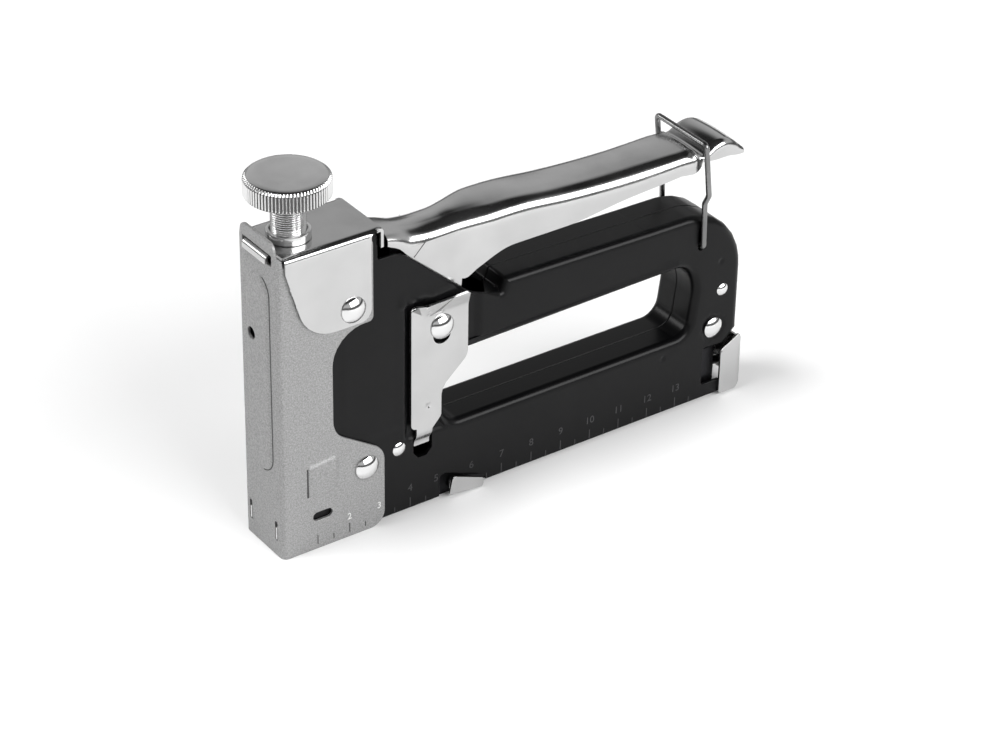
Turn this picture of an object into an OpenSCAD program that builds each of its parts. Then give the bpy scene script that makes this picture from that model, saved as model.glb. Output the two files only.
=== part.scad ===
// Hand staple gun: two pressed steel shells, a wrapped nose cover, a plated top bracket
// with a spring adjusting screw, a squeeze lever held down by a wire bail, and a
// rear-loading magazine. Millimetres. X runs from the nose to the tail, Y across, Z up.
// Lengths along X below are counted from the front face of the nose, as on the rule
// that is stamped along the base; in_tool_frame() moves them to the part's own origin,
// which is the middle of the base on the surface that the gun stands on.

/* [Shells] */
// Half of the width over the two shells
shell_half = 8.5; // [8.2:0.1:8.5]
// Thickness of the shell sheet
sheet = 1.0; // [0.8:0.1:1.2]
// Where the shells end at the tail
tail_x = 151.8; // [151:0.1:152]
// Height of the grip's top at its front end
grip_top = 62.4; // [61.5:0.1:63]
// Underside of the grip, which is the top of the finger opening
grip_under = 44.6; // [43:0.1:46]
// Floor of the finger opening
opening_floor = 23.4; // [22.5:0.1:24]

/* [Nose and bracket] */
// Half of the width over the nose cover
nose_half = 9.5; // [9.4:0.1:9.6]
// Thickness of the nose cover and the bracket
cover_sheet = 0.85; // [0.7:0.05:0.9]
// Half of the width over the top bracket
bracket_half = 10.4; // [10.4:0.1:10.8]
// Height of the bracket's top face
bracket_top = 91.0; // [90.5:0.1:91.2]
// Height of the tongue that stands above the slit in the nose
tongue_top = 95.0; // [93:0.1:96]

/* [Lever] */
// Height of the lever pivot
pivot_z = 55.5; // [55:0.1:56]
// Distance of the lever pivot from the nose
pivot_x = 49.4; // [49:0.1:50]
// Radius of the lever pivot pin
pivot_r = 2.5; // [2:0.1:2.7]
// Half of the lever's width where it enters the shells
lever_front_half = 6.9; // [6.5:0.1:7]
// Half of the lever's width along the grip
lever_grip_half = 9.0; // [8.5:0.1:9.2]
// Thickness of the lever sheet
lever_sheet = 1.2; // [1:0.1:1.4]

/* [Adjusting screw] */
// Distance of the screw axis from the nose
screw_x = 8.8; // [8.6:0.1:9]
// Outside radius of the screw thread
screw_r = 4.65; // [4.4:0.05:4.65]
// Radius of the knurled head
knob_r = 11.4; // [10:0.1:12]
// Top of the knurled head
knob_top = 108.85; // [107:0.05:110]
// Thickness of the knurled head
knob_h = 5.65; // [4:0.05:6.5]

/* [Magazine] */
// Half of the width over the magazine channel
channel_half = 6.5; // [6.5:0.1:6.8]
// Height of the magazine channel
channel_h = 15.5; // [14:0.1:15.5]
// Radius of the pusher rod
rod_r = 1.2; // [1:0.05:1.25]
// Height of the pusher rod's axis
rod_z = 5.5; // [5.2:0.1:5.8]

/* [Bail] */
// Radius of the bail wire
wire_r = 0.8; // [0.7:0.05:0.85]
// Half of the width between the bail's legs, to the wire's middle
bail_half = 10.9; // [10.9:0.1:11.5]

/* [Hidden] */

origin_x = 75;        // middle of the base, from the nose
gap = 0.05;           // running clearance of a pin or a screw in its hole
eps = 0.01;
plate_gap = 0.15;     // clearance beside a plate that slides along a shell
seam = 0.1;           // half of the gap where the two shells meet
arc_steps = 8;        // straight pieces in a rounded corner
round_fn = 64;

// Fastener axes in the side view, [x, z]
upper_nose = [21.3, 70.3];
lower_nose = [25.6, 20.1];
frame_pin_at = [36.4, 21.2];
rear_big = [142.6, 23.3];
rear_small = [145.1, 35.0];
pivot = [pivot_x, pivot_z];
rivet_r = 2.0;
small_rivet_r = 1.3;

plate_in = shell_half + plate_gap;      // inner face of the plates outside the shells
plate_out = nose_half;
bail_pivot = [136.7, 51.5];
bail_leg_half = plate_in + wire_r;      // the bail's lower legs run beside the shells
bail_bar = [134.6, 84.55];

stroke_tip = [13.0, 49.1];              // lifter tip at rest, in the plunger's slot
lifter_tip_r = 2.5;
plunger_box = [[2.9, 40], [17, 57]];
blade_t = 0.9;
seat_z = 81.5;
seat_h = 2.5;
seat_r = 6;

// ---- outline helpers ----

function unit(v) = v / norm(v);

// One corner of an outline, rounded at radius r; a corner with r = 0 stays sharp.
function corner_arc(p, q, s, r) =
    let (u = unit(p - q), v = unit(s - q), half = acos(max(-1, min(1, u * v))) / 2,
         a = q + u * (r / tan(half)), b = q + v * (r / tan(half)),
         c = q + unit(u + v) * (r / sin(half)))
    [for (i = [0:arc_steps]) c + r * unit((a - c) * (1 - i / arc_steps) + (b - c) * i / arc_steps)];

// Closed outline from corners [x, z, radius].
function rounded(corners) =
    let (n = len(corners), at = [for (c = corners) [c[0], c[1]]])
    [for (i = [0:n - 1])
        each corners[i][2] > 0
            ? corner_arc(at[(i + n - 1) % n], at[i], at[(i + 1) % n], corners[i][2])
            : [at[i]]];

// The corners of an anticlockwise outline moved inwards by d (outwards where d is negative).
function inset(corners, d) =
    let (n = len(corners), at = [for (c = corners) [c[0], c[1]]])
    [for (i = [0:n - 1])
        let (e = unit(at[i] - at[(i + n - 1) % n]), f = unit(at[(i + 1) % n] - at[i]),
             ne = [-e[1], e[0]], nf = [-f[1], f[0]],
             q = at[i] + (ne + nf) * (d / (1 + ne * nf)),
             convex = e[0] * f[1] - e[1] * f[0] > 0)
        [q[0], q[1], corners[i][2] == 0 ? 0 : max(0, corners[i][2] + (convex ? -d : d))]];

// Open path in space through points [x, y, z], with every inner corner rounded.
function bent(path, r) =
    let (n = len(path))
    [path[0],
     for (i = [1:n - 2]) each corner_arc(path[i - 1], path[i], path[i + 1], r),
     path[n - 1]];

function reversed(v) = [for (i = [len(v) - 1:-1:0]) v[i]];

function smooth(t) = let (c = max(0, min(1, t))) c * c * (3 - 2 * c);

// Height at x on a line of [x, height] points.
function height_at(line, x) = lookup(x, line);

// ---- solid helpers ----

module in_tool_frame() { translate([-origin_x, 0, 0]) children(); }

// Extrudes a side outline from y0 to y1.
module side_slab(y0, y1) {
    translate([0, y1, 0]) rotate([90, 0, 0]) linear_extrude(y1 - y0) children();
}

// The same slab on both sides of the middle plane.
module both_slabs(y0, y1) {
    side_slab(y0, y1) children();
    side_slab(-y1, -y0) children();
}

// A round bar across the gun at [x, z].
module cross_bar(at, r, y0, y1) {
    translate([at[0], y1, at[1]]) rotate([90, 0, 0]) cylinder(r = r, h = y1 - y0, $fn = round_fn);
}

// A low spherical rivet head of radius r and height h, its flat side on z = 0.
module dome(r, h) {
    ball = (r * r + h * h) / (2 * h);
    intersection() {
        translate([0, 0, h - ball]) sphere(r = ball, $fn = 96);
        cylinder(r = r, h = h + 1, $fn = round_fn);
    }
}

// A shaft across the gun with a domed head on each end.
module cross_rivet(at, shaft, y0, y1, head, head_h) {
    cross_bar(at, shaft, y0, y1);
    translate([at[0], y1, at[1]]) rotate([-90, 0, 0]) dome(head, head_h);
    translate([at[0], y0, at[1]]) rotate([90, 0, 0]) dome(head, head_h);
}

// A round wire of radius r swept along a path, as one closed polyhedron.
module wire(path, r, sides, closed_up = [0, 0, 1]) {
    n = len(path);
    rings = [for (i = [0:n - 1])
        let (t = unit(path[min(i + 1, n - 1)] - path[max(i - 1, 0)]),
             side = unit(cross(t, abs(t * closed_up) > 0.9 ? [1, 0, 0] : closed_up)),
             up = cross(t, side))
        for (k = [0:sides - 1]) path[i] + r * (side * cos(360 * k / sides) + up * sin(360 * k / sides))];
    faces = [
        [for (k = [0:sides - 1]) k],
        [for (k = [sides - 1:-1:0]) (n - 1) * sides + k],
        for (i = [0:n - 2]) for (k = [0:sides - 1])
            let (a = i * sides + k, b = i * sides + (k + 1) % sides)
            each [[a, a + sides, b], [b, a + sides, b + sides]]];
    polyhedron(points = rings, faces = faces, convexity = 10);
}

// Points of a coil about an axis through base, [turns] turns high h, along dir.
function coil(base, dir, across, radius, h, turns, steps) =
    let (other = cross(dir, across))
    [for (i = [0:turns * steps])
        base + dir * (h * i / (turns * steps))
        + radius * (across * cos(360 * i / steps) + other * sin(360 * i / steps))];

// ---- shells ----

// Side outline of a shell, anticlockwise: base, tail, grip, lever throat and nose end.
shell_corners = [
    [6, 1, 0], [146.2, 1, 0.8], [146.2, 5.2, 0.5], [139.4, 5.2, 1], [139.4, 17.4, 1],
    [146.4, 17.2, 1], [tail_x, 20, 1], [tail_x, 61, 20.5], [118, 61.4, 60],
    [70.8, grip_top, 1], [69.4, 58.9, 0.5], [60, 61.4, 18], [37, 81.2, 10],
    [30, 81.2, 0.8], [30, 89, 0.8], [6, 89, 0.8]
];
opening_corners = [
    [51.3, opening_floor, 5], [133.8, opening_floor, 5], [135.8, 38.5, 12], [132.6, 46, 6],
    [51.3, grip_under, 4]
];
// The turned-in rim follows the outline from the throat over the grip to the tail
rim_corners = [
    [tail_x, 20, 0], [tail_x, 61, 20.5], [118, 61.4, 60], [70.8, grip_top, 1],
    [69.4, 58.9, 0.5], [68, 59.3, 0]
];
// An open strip of sheet as wide as d on the inner side of a run of corners.
function strip(corners, d) =
    let (n = len(corners),
         inner = inset(corners, d),
         a = [for (i = [0:n - 1]) i == 0 || i == n - 1 ? [corners[i][0], corners[i][1], 0] : corners[i]],
         e = unit([a[1][0] - a[0][0], a[1][1] - a[0][1]]),
         f = unit([a[n - 1][0] - a[n - 2][0], a[n - 1][1] - a[n - 2][1]]),
         b = [for (i = [0:n - 1])
                 i == 0 ? [a[0][0] - e[1] * d, a[0][1] + e[0] * d, 0]
                 : i == n - 1 ? [a[i][0] - f[1] * d, a[i][1] + f[0] * d, 0] : inner[i]])
    rounded(concat(a, reversed(b)));

module shell_blank() {
    side_slab(shell_half - sheet, shell_half) difference() {
        polygon(rounded(shell_corners));
        polygon(rounded(opening_corners));
    }
    side_slab(seam, shell_half - sheet + eps) {
        polygon(strip(rim_corners, sheet));
        difference() {
            polygon(rounded(inset(opening_corners, -sheet)));
            polygon(rounded(opening_corners));
        }
    }
}

module shell() {
    difference() {
        shell_blank();
        for (at = [upper_nose, lower_nose, rear_big])
            cross_bar(at, rivet_r + gap, 0, 20);
        for (at = [frame_pin_at, rear_small]) cross_bar(at, small_rivet_r + gap, 0, 20);
        cross_bar(pivot, pivot_r + gap, 0, 20);
        // upright slot that the bail's foot stands in
        cross_bar(bail_pivot, wire_r + gap, 0, 20);
        cross_bar([bail_pivot[0], 59], wire_r + gap, 0, 20);
        translate([bail_pivot[0] - wire_r - gap, 0, bail_pivot[1]])
            cube([2 * (wire_r + gap), 20, 59 - bail_pivot[1]]);
    }
}

module right_shell() {
    color([0.16, 0.16, 0.17]) in_tool_frame() shell();
}

// The left shell also has the retainer plate's slot and the notch for the magazine catch.
module left_shell() {
    color([0.16, 0.16, 0.17]) in_tool_frame() difference() {
        mirror([0, 1, 0]) shell();
        translate([41, -20, 15.5]) cube([6, 20, 7.2]);
        side_slab(-20, 0) polygon([[49.6, 0], [49.6, 7.6], [51.6, 7.9], [64.9, 2.1], [64.9, 0]]);
    }
}

// ---- nose ----

cover_side = rounded([
    [-2, 0, 0], [31.2, 0, 4.5], [31.2, 23.9, 6], [15.4, 33.9, 7], [15.4, 64.5, 10],
    [28, 64.5, 1.5], [28, 88.2, 1], [1.2, 88.2, 0.5], [1.2, 100, 0], [-2, 100, 0]
]);
cover_front = rounded([
    [-10, 0, 0], [10, 0, 0], [10, 90.6, 1], [8.8, 91.2, 1], [7.4, tongue_top, 2.4],
    [-7.4, tongue_top, 2.4], [-8.8, 91.2, 1], [-10, 90.6, 1]
]);
nose_front = -0.7;     // the cover stands a little ahead of the rule's zero
bead = [24.5, 83.6];   // lower and upper end of the raised bead on the nose's front
bead_half = 5.4;
bead_h = 0.6;

// The cover's bent section seen from above: a U with rounded front corners.
module cover_section() {
    outer = [[nose_front, nose_half, 1.7], [nose_front, -nose_half, 1.7], [40, -nose_half, 0],
             [40, nose_half, 0]];
    inner_half = nose_half - cover_sheet;
    inner_front = nose_front + cover_sheet;
    inner = [[inner_front, inner_half, 0.85], [inner_front, -inner_half, 0.85],
             [41, -inner_half, 0], [41, inner_half, 0]];
    difference() {
        polygon(rounded(outer));
        polygon(rounded(inner));
    }
}

module front_stadium(z0, z1, half, x0, x1) {
    for (z = [z0 + half, z1 - half])
        translate([x0, 0, z]) rotate([0, 90, 0]) cylinder(r = half, h = x1 - x0, $fn = round_fn);
    translate([x0, -half, z0 + half]) cube([x1 - x0, 2 * half, z1 - z0 - 2 * half]);
}

module nose_cover() {
    color([0.70, 0.70, 0.70]) in_tool_frame() difference() {
        union() {
            intersection() {
                linear_extrude(100) cover_section();
                side_slab(-20, 20) polygon(cover_side);
                rotate([90, 0, 90]) translate([0, 0, -2]) linear_extrude(60) polygon(cover_front);
            }
            front_stadium(bead[0], bead[1], bead_half, nose_front - bead_h, nose_front + 0.1);
            // lanced bumps low on both sides
            both_slabs(nose_half - eps, nose_half + 0.7)
                polygon(rounded([[7.2, 17, 1], [16, 17.5, 3], [17, 27, 4], [7.2, 27, 1]]));
        }
        // slit for the bracket's front lip
        translate([-2, -6.9, 88.2]) cube([5, 13.8, 3.1]);
        translate([-2, 2.8, 64.4]) rotate([0, 90, 0]) cylinder(r = 1.75, h = 5, $fn = round_fn);
        for (s = [-1, 1]) translate([-2, s * 6.3 - 0.6, 4.9]) cube([5, 1.2, 6.1]);
        // oblong slot beside the rule's first marks
        for (x = [10, 13.4]) cross_bar([x, 10.2], 1.3, -20, 20);
        translate([10, -20, 8.9]) cube([3.4, 40, 2.6]);
        for (at = [upper_nose, lower_nose]) cross_bar(at, rivet_r + gap, -20, 20);
    }
}

bracket_side = rounded([
    [1.4, bracket_top, 0], [1.3, 86.8, 3], [7.7, 65.6, 11], [26.9, 65.6, 3.5], [26.9, bracket_top, 0]
]);
lip_half = 5.5;
rear_flange_x = 30.2;
rear_flange_z = 85.3;

module top_bracket() {
    in_half = bracket_half - cover_sheet;
    under = bracket_top - cover_sheet;
    color([0.80, 0.80, 0.80]) in_tool_frame() difference() {
        union() {
            both_slabs(in_half, bracket_half) polygon(bracket_side);
            translate([1.3, -bracket_half, under])
                cube([rear_flange_x + cover_sheet - 1.3, 2 * bracket_half, cover_sheet]);
            translate([rear_flange_x, -bracket_half + 0.4, rear_flange_z])
                cube([cover_sheet, 2 * bracket_half - 0.8, bracket_top - rear_flange_z - 0.1]);
            side_slab(-lip_half, lip_half)
                polygon(rounded([[1.4, 88.5, 0], [1.4, bracket_top, 0], [-1.7, bracket_top, 1.8],
                                 [-1.7, 88.5, 0.4]]));
        }
        translate([screw_x, 0, 80]) cylinder(r = 5.35, h = 20, $fn = round_fn);
        cross_bar(upper_nose, rivet_r + gap, -20, 20);
    }
}

module driver_guide() {
    color([0.75, 0.75, 0.77]) in_tool_frame() {
        translate([0.95, -7.3, 0.3]) cube([0.7, 14.6, 40]);
        for (s = [-1, 1]) translate([1.6, s * 6.95 - 0.35, 0.3]) cube([4, 0.7, 40]);
    }
}

// ---- adjusting screw and drive ----

module screw_bush() {
    color([0.80, 0.80, 0.80]) in_tool_frame() translate([screw_x, 0, 0]) difference() {
        union() {
            translate([0, 0, bracket_top]) cylinder(r = 5.9, h = 2.5, $fn = round_fn);
            translate([0, 0, 86.5]) cylinder(r = 5.3, h = 5, $fn = round_fn);
        }
        translate([0, 0, 80]) cylinder(r = screw_r + gap, h = 20, $fn = round_fn);
    }
}

module adjusting_screw() {
    low = knob_top - knob_h;
    color([0.82, 0.82, 0.82]) in_tool_frame() translate([screw_x, 0, 0]) rotate_extrude($fn = 96)
        polygon([[0, seat_z + seat_h + gap], [screw_r - 0.5, seat_z + seat_h + gap],
                 [screw_r, seat_z + seat_h + 0.6], [screw_r, low], [knob_r - 0.8, low],
                 [knob_r, low + 0.6], [knob_r, knob_top - 0.75], [knob_r - 0.75, knob_top],
                 [0, knob_top]]);
}

module spring_seat() {
    color([0.55, 0.55, 0.57]) in_tool_frame() translate([screw_x, 0, seat_z])
        rotate_extrude($fn = round_fn)
            polygon([[0, 0], [3, 0], [3, -3], [3.6, -3], [3.6, 0], [seat_r, 0], [seat_r, seat_h],
                     [0, seat_h]]);
}

spring_wire_r = 0.9;
spring_r = 4.7;

module main_spring() {
    z0 = plunger_box[1][1] + spring_wire_r + gap;
    h = seat_z - spring_wire_r - gap - z0;
    color([0.45, 0.45, 0.47]) in_tool_frame()
        wire(coil([screw_x, 0, z0], [0, 0, 1], [1, 0, 0], spring_r, h, 7, 20), spring_wire_r, 8);
}

module plunger() {
    lo = plunger_box[0];
    hi = plunger_box[1];
    color([0.50, 0.50, 0.52]) in_tool_frame() difference() {
        union() {
            side_slab(-6.2, 6.2) polygon(rounded([
                [lo[0], lo[1], 0], [hi[0] - 2, lo[1], 1], [hi[0], lo[1] + 4, 1], [hi[0], hi[1], 1],
                [lo[0], hi[1], 0]]));
            translate([screw_x, 0, hi[1] - eps]) cylinder(r = 3.4, h = 4, $fn = round_fn);
        }
        translate([10, -2.6, 46]) cube([10, 5.2, 7.2]);
    }
}

module driver_blade() {
    color([0.62, 0.62, 0.65]) in_tool_frame()
        translate([plunger_box[0][0] - blade_t, -5.5, 12.6]) cube([blade_t, 11, 44.4]);
}

module shock_absorber() {
    color([0.10, 0.10, 0.10]) in_tool_frame() side_slab(-6.4, 6.4)
        polygon(rounded([[3.4, channel_h, 0], [16.8, channel_h, 0], [16.8, 27.2, 2.5], [3.4, 27.2, 1]]));
}

// ---- lever ----

// Height of the lever's top and of its cheeks' lower edge, and its half width, along x
lever_top = [[34.2, 86.2], [40, 85.0], [46, 84.1], [52, 84.0], [58, 84.5], [66, 85.0], [76, 84.8],
             [90, 83.4], [105, 82.5], [120, 82.2], [133, 82.2], [134.2, 81.4], [135.2, 80.4],
             [136.2, 80.3], [137.6, 81.2], [139.6, 82.5], [142.6, 83.1], [145.2, 82.5], [147.6, 81.0],
             [150, 78.6]];
lever_foot = [[34.2, 83.0], [38, 81.0], [41, 77.8], [46, 74.0], [56, 67.0], [58, 66.2], [61.7, 68.6],
              [67.5, 71.8], [73.5, 72.8], [88.6, 72.8], [109.8, 74.9], [127.7, 76.1], [134.6, 76.8],
              [135.4, 78.4], [137.6, 78.1], [139, 77.9], [144.5, 77.6], [148.6, 76.9], [150, 76.9]];
lever_end = 150;
shoulder_r = 4.4;

function lever_half(x) =
    lever_front_half + (lever_grip_half - lever_front_half) * smooth((x - 54) / 14)
    - 0.5 * smooth((x - 140) / 10);

// One cross-section of the lever: a U turned over, its outer line out and its inner line back.
function lever_ring(x) =
    let (w = lever_half(x), top = height_at(lever_top, x), t = lever_sheet,
         r = min(shoulder_r, top - height_at(lever_foot, x) - 0.2),
         steps = 5, ro = max(r, 0.3), ri = max(ro - t, 0.1),
         foot = min(height_at(lever_foot, x), top - max(ro, t + ri) - 0.15),
         outer = [[-w, foot], for (i = [0:steps]) [-w + ro - ro * cos(90 * i / steps),
                                                   top - ro + ro * sin(90 * i / steps)],
                  for (i = [steps:-1:0]) [w - ro + ro * cos(90 * i / steps),
                                          top - ro + ro * sin(90 * i / steps)], [w, foot]],
         wi = w - t, ti = top - t,
         inner = [[-wi, foot], for (i = [0:steps]) [-wi + ri - ri * cos(90 * i / steps),
                                                    ti - ri + ri * sin(90 * i / steps)],
                  for (i = [steps:-1:0]) [wi - ri + ri * cos(90 * i / steps),
                                          ti - ri + ri * sin(90 * i / steps)], [wi, foot]])
    [for (p = outer) [x, p[0], p[1]], for (p = reversed(inner)) [x, p[0], p[1]]];

lever_stations = [34.2, 37, 40, 43, 46, 50, 54, 56, 58, 60, 62, 65, 68, 72, 78, 84, 90, 98, 106, 114,
                  122, 129, 133, 134.2, 135.2, 137.4, 138.8, 140.6, 143, 145.4, 147.6, lever_end];

module lever_cover() {
    rings = [for (x = lever_stations) lever_ring(x)];
    n = len(rings);
    m = len(rings[0]);
    last = (n - 1) * m;
    polyhedron(
        points = [for (ring = rings) each ring],
        faces = [
            for (k = [0:m / 2 - 2])
                each [[m - 1 - k, m - 2 - k, k + 1, k],
                      [last + k, last + k + 1, last + m - 2 - k, last + m - 1 - k]],
            for (i = [0:n - 2]) for (k = [0:m - 1])
                let (a = i * m + k, b = i * m + (k + 1) % m)
                each [[a, b, a + m], [b, b + m, a + m]]],
        convexity = 10);
}

cheek_outline = rounded([
    [39.4, 80.6, 0], [43, 74, 4], [42.6, 48.8, 6.6], [56.2, 48.8, 6.6], [57.4, 66.4, 1], [57.4, 81, 0]
]);

module hand_lever() {
    cheek_in = lever_front_half - lever_sheet;
    color([0.80, 0.80, 0.80]) in_tool_frame() difference() {
        union() {
            lever_cover();
            both_slabs(cheek_in, lever_front_half) polygon(cheek_outline);
        }
        cross_bar(pivot, pivot_r + gap, -20, 20);
    }
}

module lifter_arm() {
    color([0.45, 0.45, 0.47]) in_tool_frame() difference() {
        side_slab(-2, 2) union() {
            polygon(rounded([
                [14.2, 46.7, 0], [40, 50.2, 6], [46, 49.2, 3], [55.6, 49.8, 5], [55.2, 62, 6],
                [53, 82.2, 1], [45, 82.2, 1], [43.4, 62.6, 8], [36, 56.8, 8], [13.4, 51.55, 0]]));
            translate(stroke_tip) circle(r = lifter_tip_r, $fn = round_fn);
        }
        cross_bar(pivot, pivot_r + gap, -20, 20);
    }
}

module lever_pivot_pin() {
    color([0.85, 0.85, 0.85]) in_tool_frame() {
        cross_bar(pivot, pivot_r, -plate_out - gap, shell_half + gap);
        translate([pivot[0], shell_half + gap, pivot[1]]) rotate([-90, 0, 0]) dome(3.6, 1.9);
        translate([pivot[0], -plate_out - gap, pivot[1]]) rotate([90, 0, 0]) dome(3.6, 1.9);
    }
}

module lever_return_spring() {
    color([0.45, 0.45, 0.47]) in_tool_frame()
        wire(coil([pivot[0], 2.6, pivot[1]], [0, 1, 0], [0, 0, 1], 3.7, 2.6, 3, 16), 0.4, 6, [1, 0, 0]);
}

// The plate hangs on the pivot pin by a slot, so it can be pushed up as far as the slot allows.
plate_outline = rounded([
    [39.7, 26.6, 1.5], [46.7, 24.7, 1], [49.3, 28, 2], [49.3, 36.5, 6], [57.7, 44, 4],
    [57.7, 60.6, 0.8], [39.7, 63, 0.8]
]);
slot_low = 53.1;

module pin_retainer_plate() {
    color([0.82, 0.82, 0.82]) in_tool_frame() difference() {
        union() {
            side_slab(-plate_out, -plate_in) {
                polygon(plate_outline);
                polygon([[41.5, 27], [41.5, 19.8], [46.4, 19.8], [46.4, 26]]);
            }
            // lip turned outwards along the top edge
            hull() {
                side_slab(-plate_out, -plate_in) polygon([[40.4, 62], [57, 59.8], [57, 60.6], [40.4, 62.8]]);
                side_slab(-plate_out - 1.6, -plate_in - 1.6)
                    polygon([[43, 64.4], [57.2, 62.4], [57.2, 63], [43, 65]]);
            }
        }
        cross_bar(pivot, pivot_r + 0.3, -20, 0);
        cross_bar([pivot[0], slot_low], pivot_r + 0.3, -20, 0);
        translate([pivot[0] - pivot_r - 0.3, -20, slot_low]) cube([2 * pivot_r + 0.6, 20, pivot[1] - slot_low]);
    }
}

// ---- bail ----

bail_path = [
    [bail_pivot[0], -bail_leg_half, bail_pivot[1] - 0.4], [136.3, -bail_leg_half, 65.5],
    [136.4, -bail_half, 68.6], [bail_bar[0], -bail_half, bail_bar[1]],
    [bail_bar[0], bail_half, bail_bar[1]], [136.4, bail_half, 68.6],
    [136.3, bail_leg_half, 65.5], [bail_pivot[0], bail_leg_half, bail_pivot[1] - 0.4]
];

module lock_bail() {
    color([0.45, 0.45, 0.47]) in_tool_frame() {
        wire(bent(bail_path, 1.6), wire_r, 8, [1, 0, 0]);
        cross_bar(bail_pivot, wire_r, 7.0, bail_leg_half + 0.5);
        cross_bar(bail_pivot, wire_r, -bail_leg_half - 0.5, -7.0);
    }
}

// ---- magazine ----

channel_x = [3.2, 145];
channel_wall = 0.8;
rail_half = 4.8;
rail_top = 9.5;
rail_slot = 2.4;

module magazine_channel() {
    color([0.70, 0.70, 0.72]) in_tool_frame() difference() {
        translate([channel_x[0], -channel_half, 0])
            cube([channel_x[1] - channel_x[0], 2 * channel_half, channel_h]);
        translate([channel_x[0] - 1, -channel_half + channel_wall, channel_wall])
            cube([channel_x[1] + 2, 2 * (channel_half - channel_wall), channel_h]);
    }
}

module staple_rail() {
    color([0.65, 0.65, 0.67]) in_tool_frame() difference() {
        translate([channel_x[0], -rail_half, channel_wall])
            cube([136.8, 2 * rail_half, rail_top - channel_wall]);
        translate([channel_x[0] - 1, -rail_half + 0.7, channel_wall - 1])
            cube([140, 2 * (rail_half - 0.7), rail_top - channel_wall + 0.3]);
        translate([11, -rail_slot, channel_wall]) cube([140, 2 * rail_slot, 20]);
    }
}

pusher_x = [4.2, 16.2];

module pusher() {
    leg_in = rail_half + plate_gap;
    color([0.60, 0.60, 0.62]) in_tool_frame() difference() {
        union() {
            difference() {
                translate([pusher_x[0], -5.55, 1.1]) cube([12, 11.1, 9.9]);
                translate([pusher_x[0] - 1, -leg_in, 0]) cube([14, 2 * leg_in, 9.7]);
            }
            translate([14, -2.1, 3.4]) cube([2.2, 4.2, 6.4]);
        }
        translate([0, 0, rod_z]) rotate([0, 90, 0]) cylinder(r = rod_r + gap, h = 30, $fn = round_fn);
    }
}

module pusher_rod() {
    color([0.70, 0.70, 0.72]) in_tool_frame() translate([9.5, 0, rod_z]) rotate([0, 90, 0]) {
        cylinder(r = rod_r, h = 142.6, $fn = round_fn);
        cylinder(r = 2.0, h = 1.5, $fn = round_fn);
    }
}

module pusher_spring() {
    x0 = pusher_x[1] + 0.4;
    color([0.50, 0.50, 0.52]) in_tool_frame()
        wire(coil([x0, 0, rod_z], [1, 0, 0], [0, 0, 1], 1.85, 151.6 - x0, 34, 10), 0.3, 6, [0, 1, 0]);
}

module rear_pull() {
    ear = rounded([[145.3, 0.7, 1], [151, 0.7, 1], [152.9, 3, 1], [152.9, 17.4, 0.8], [151.7, 18.8, 0.8],
                   [145.3, 15.4, 0.8]]);
    color([0.80, 0.80, 0.80]) in_tool_frame() difference() {
        union() {
            both_slabs(plate_in, plate_out) polygon(ear);
            translate([152.1, -plate_out, 3]) cube([cover_sheet - 0.05, 2 * plate_out, 14]);
        }
        translate([150, 0, rod_z]) rotate([0, 90, 0]) cylinder(r = rod_r + 0.02, h = 2.12, $fn = round_fn);
    }
}

// A spring tab on the magazine's left side that stands out through the notch in the shell.
module magazine_catch() {
    color([0.80, 0.80, 0.80]) in_tool_frame() {
        translate([50.4, -7.4, 1.3]) cylinder(r = 0.6, h = 5, $fn = round_fn);
        side_slab(-7.7, -7.1) polygon([[50.4, 1.3], [50.4, 6.2], [54, 5.4], [54, 1.3]]);
        rotate([90, 0, 0]) translate([0, 0, 7.1]) linear_extrude(2.2)
            polygon([[52.6, 5.0], [53.2, 5.8], [62.0, 2.1], [62.0, 1.3]]);
        side_slab(-9.9, -9.3) polygon(rounded([[51.9, 1.4, 0.4], [62.9, 0.2, 0.7], [63.7, 1.6, 0.7],
                                               [53.1, 6.9, 0.9]]));
    }
}

// ---- rivets ----

module upper_nose_rivet() {
    color([0.85, 0.85, 0.85]) in_tool_frame()
        cross_rivet(upper_nose, rivet_r, -bracket_half, bracket_half, 3.7, 2.0);
}

module lower_nose_rivet() {
    color([0.85, 0.85, 0.85]) in_tool_frame()
        cross_rivet(lower_nose, rivet_r, -nose_half, nose_half, 3.65, 2.0);
}

module frame_pin() {
    color([0.25, 0.25, 0.26]) in_tool_frame()
        cross_rivet(frame_pin_at, small_rivet_r, -shell_half, shell_half, 2.0, 0.8);
}

module rear_rivet() {
    color([0.80, 0.80, 0.80]) in_tool_frame()
        cross_rivet(rear_big, rivet_r, -shell_half, shell_half, 3.1, 1.3);
}

module rear_small_rivet() {
    color([0.80, 0.80, 0.80]) in_tool_frame()
        cross_rivet(rear_small, small_rivet_r, -shell_half, shell_half, 1.95, 1.0);
}

// Tubes that keep the two shells apart on the larger rivets
module spacer_sleeves() {
    inner = shell_half - sheet - gap;
    color([0.60, 0.60, 0.62]) in_tool_frame() for (at = [upper_nose, lower_nose, rear_big])
        difference() {
            cross_bar(at, 3.3, -inner, inner);
            cross_bar(at, rivet_r + gap, -20, 20);
        }
}

left_shell();
right_shell();
nose_cover();
top_bracket();
screw_bush();
adjusting_screw();
spring_seat();
main_spring();
plunger();
driver_blade();
driver_guide();
shock_absorber();
hand_lever();
lifter_arm();
lever_pivot_pin();
lever_return_spring();
pin_retainer_plate();
lock_bail();
magazine_channel();
staple_rail();
pusher();
pusher_rod();
pusher_spring();
rear_pull();
magazine_catch();
upper_nose_rivet();
lower_nose_rivet();
frame_pin();
rear_rivet();
rear_small_rivet();
spacer_sleeves();
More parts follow.
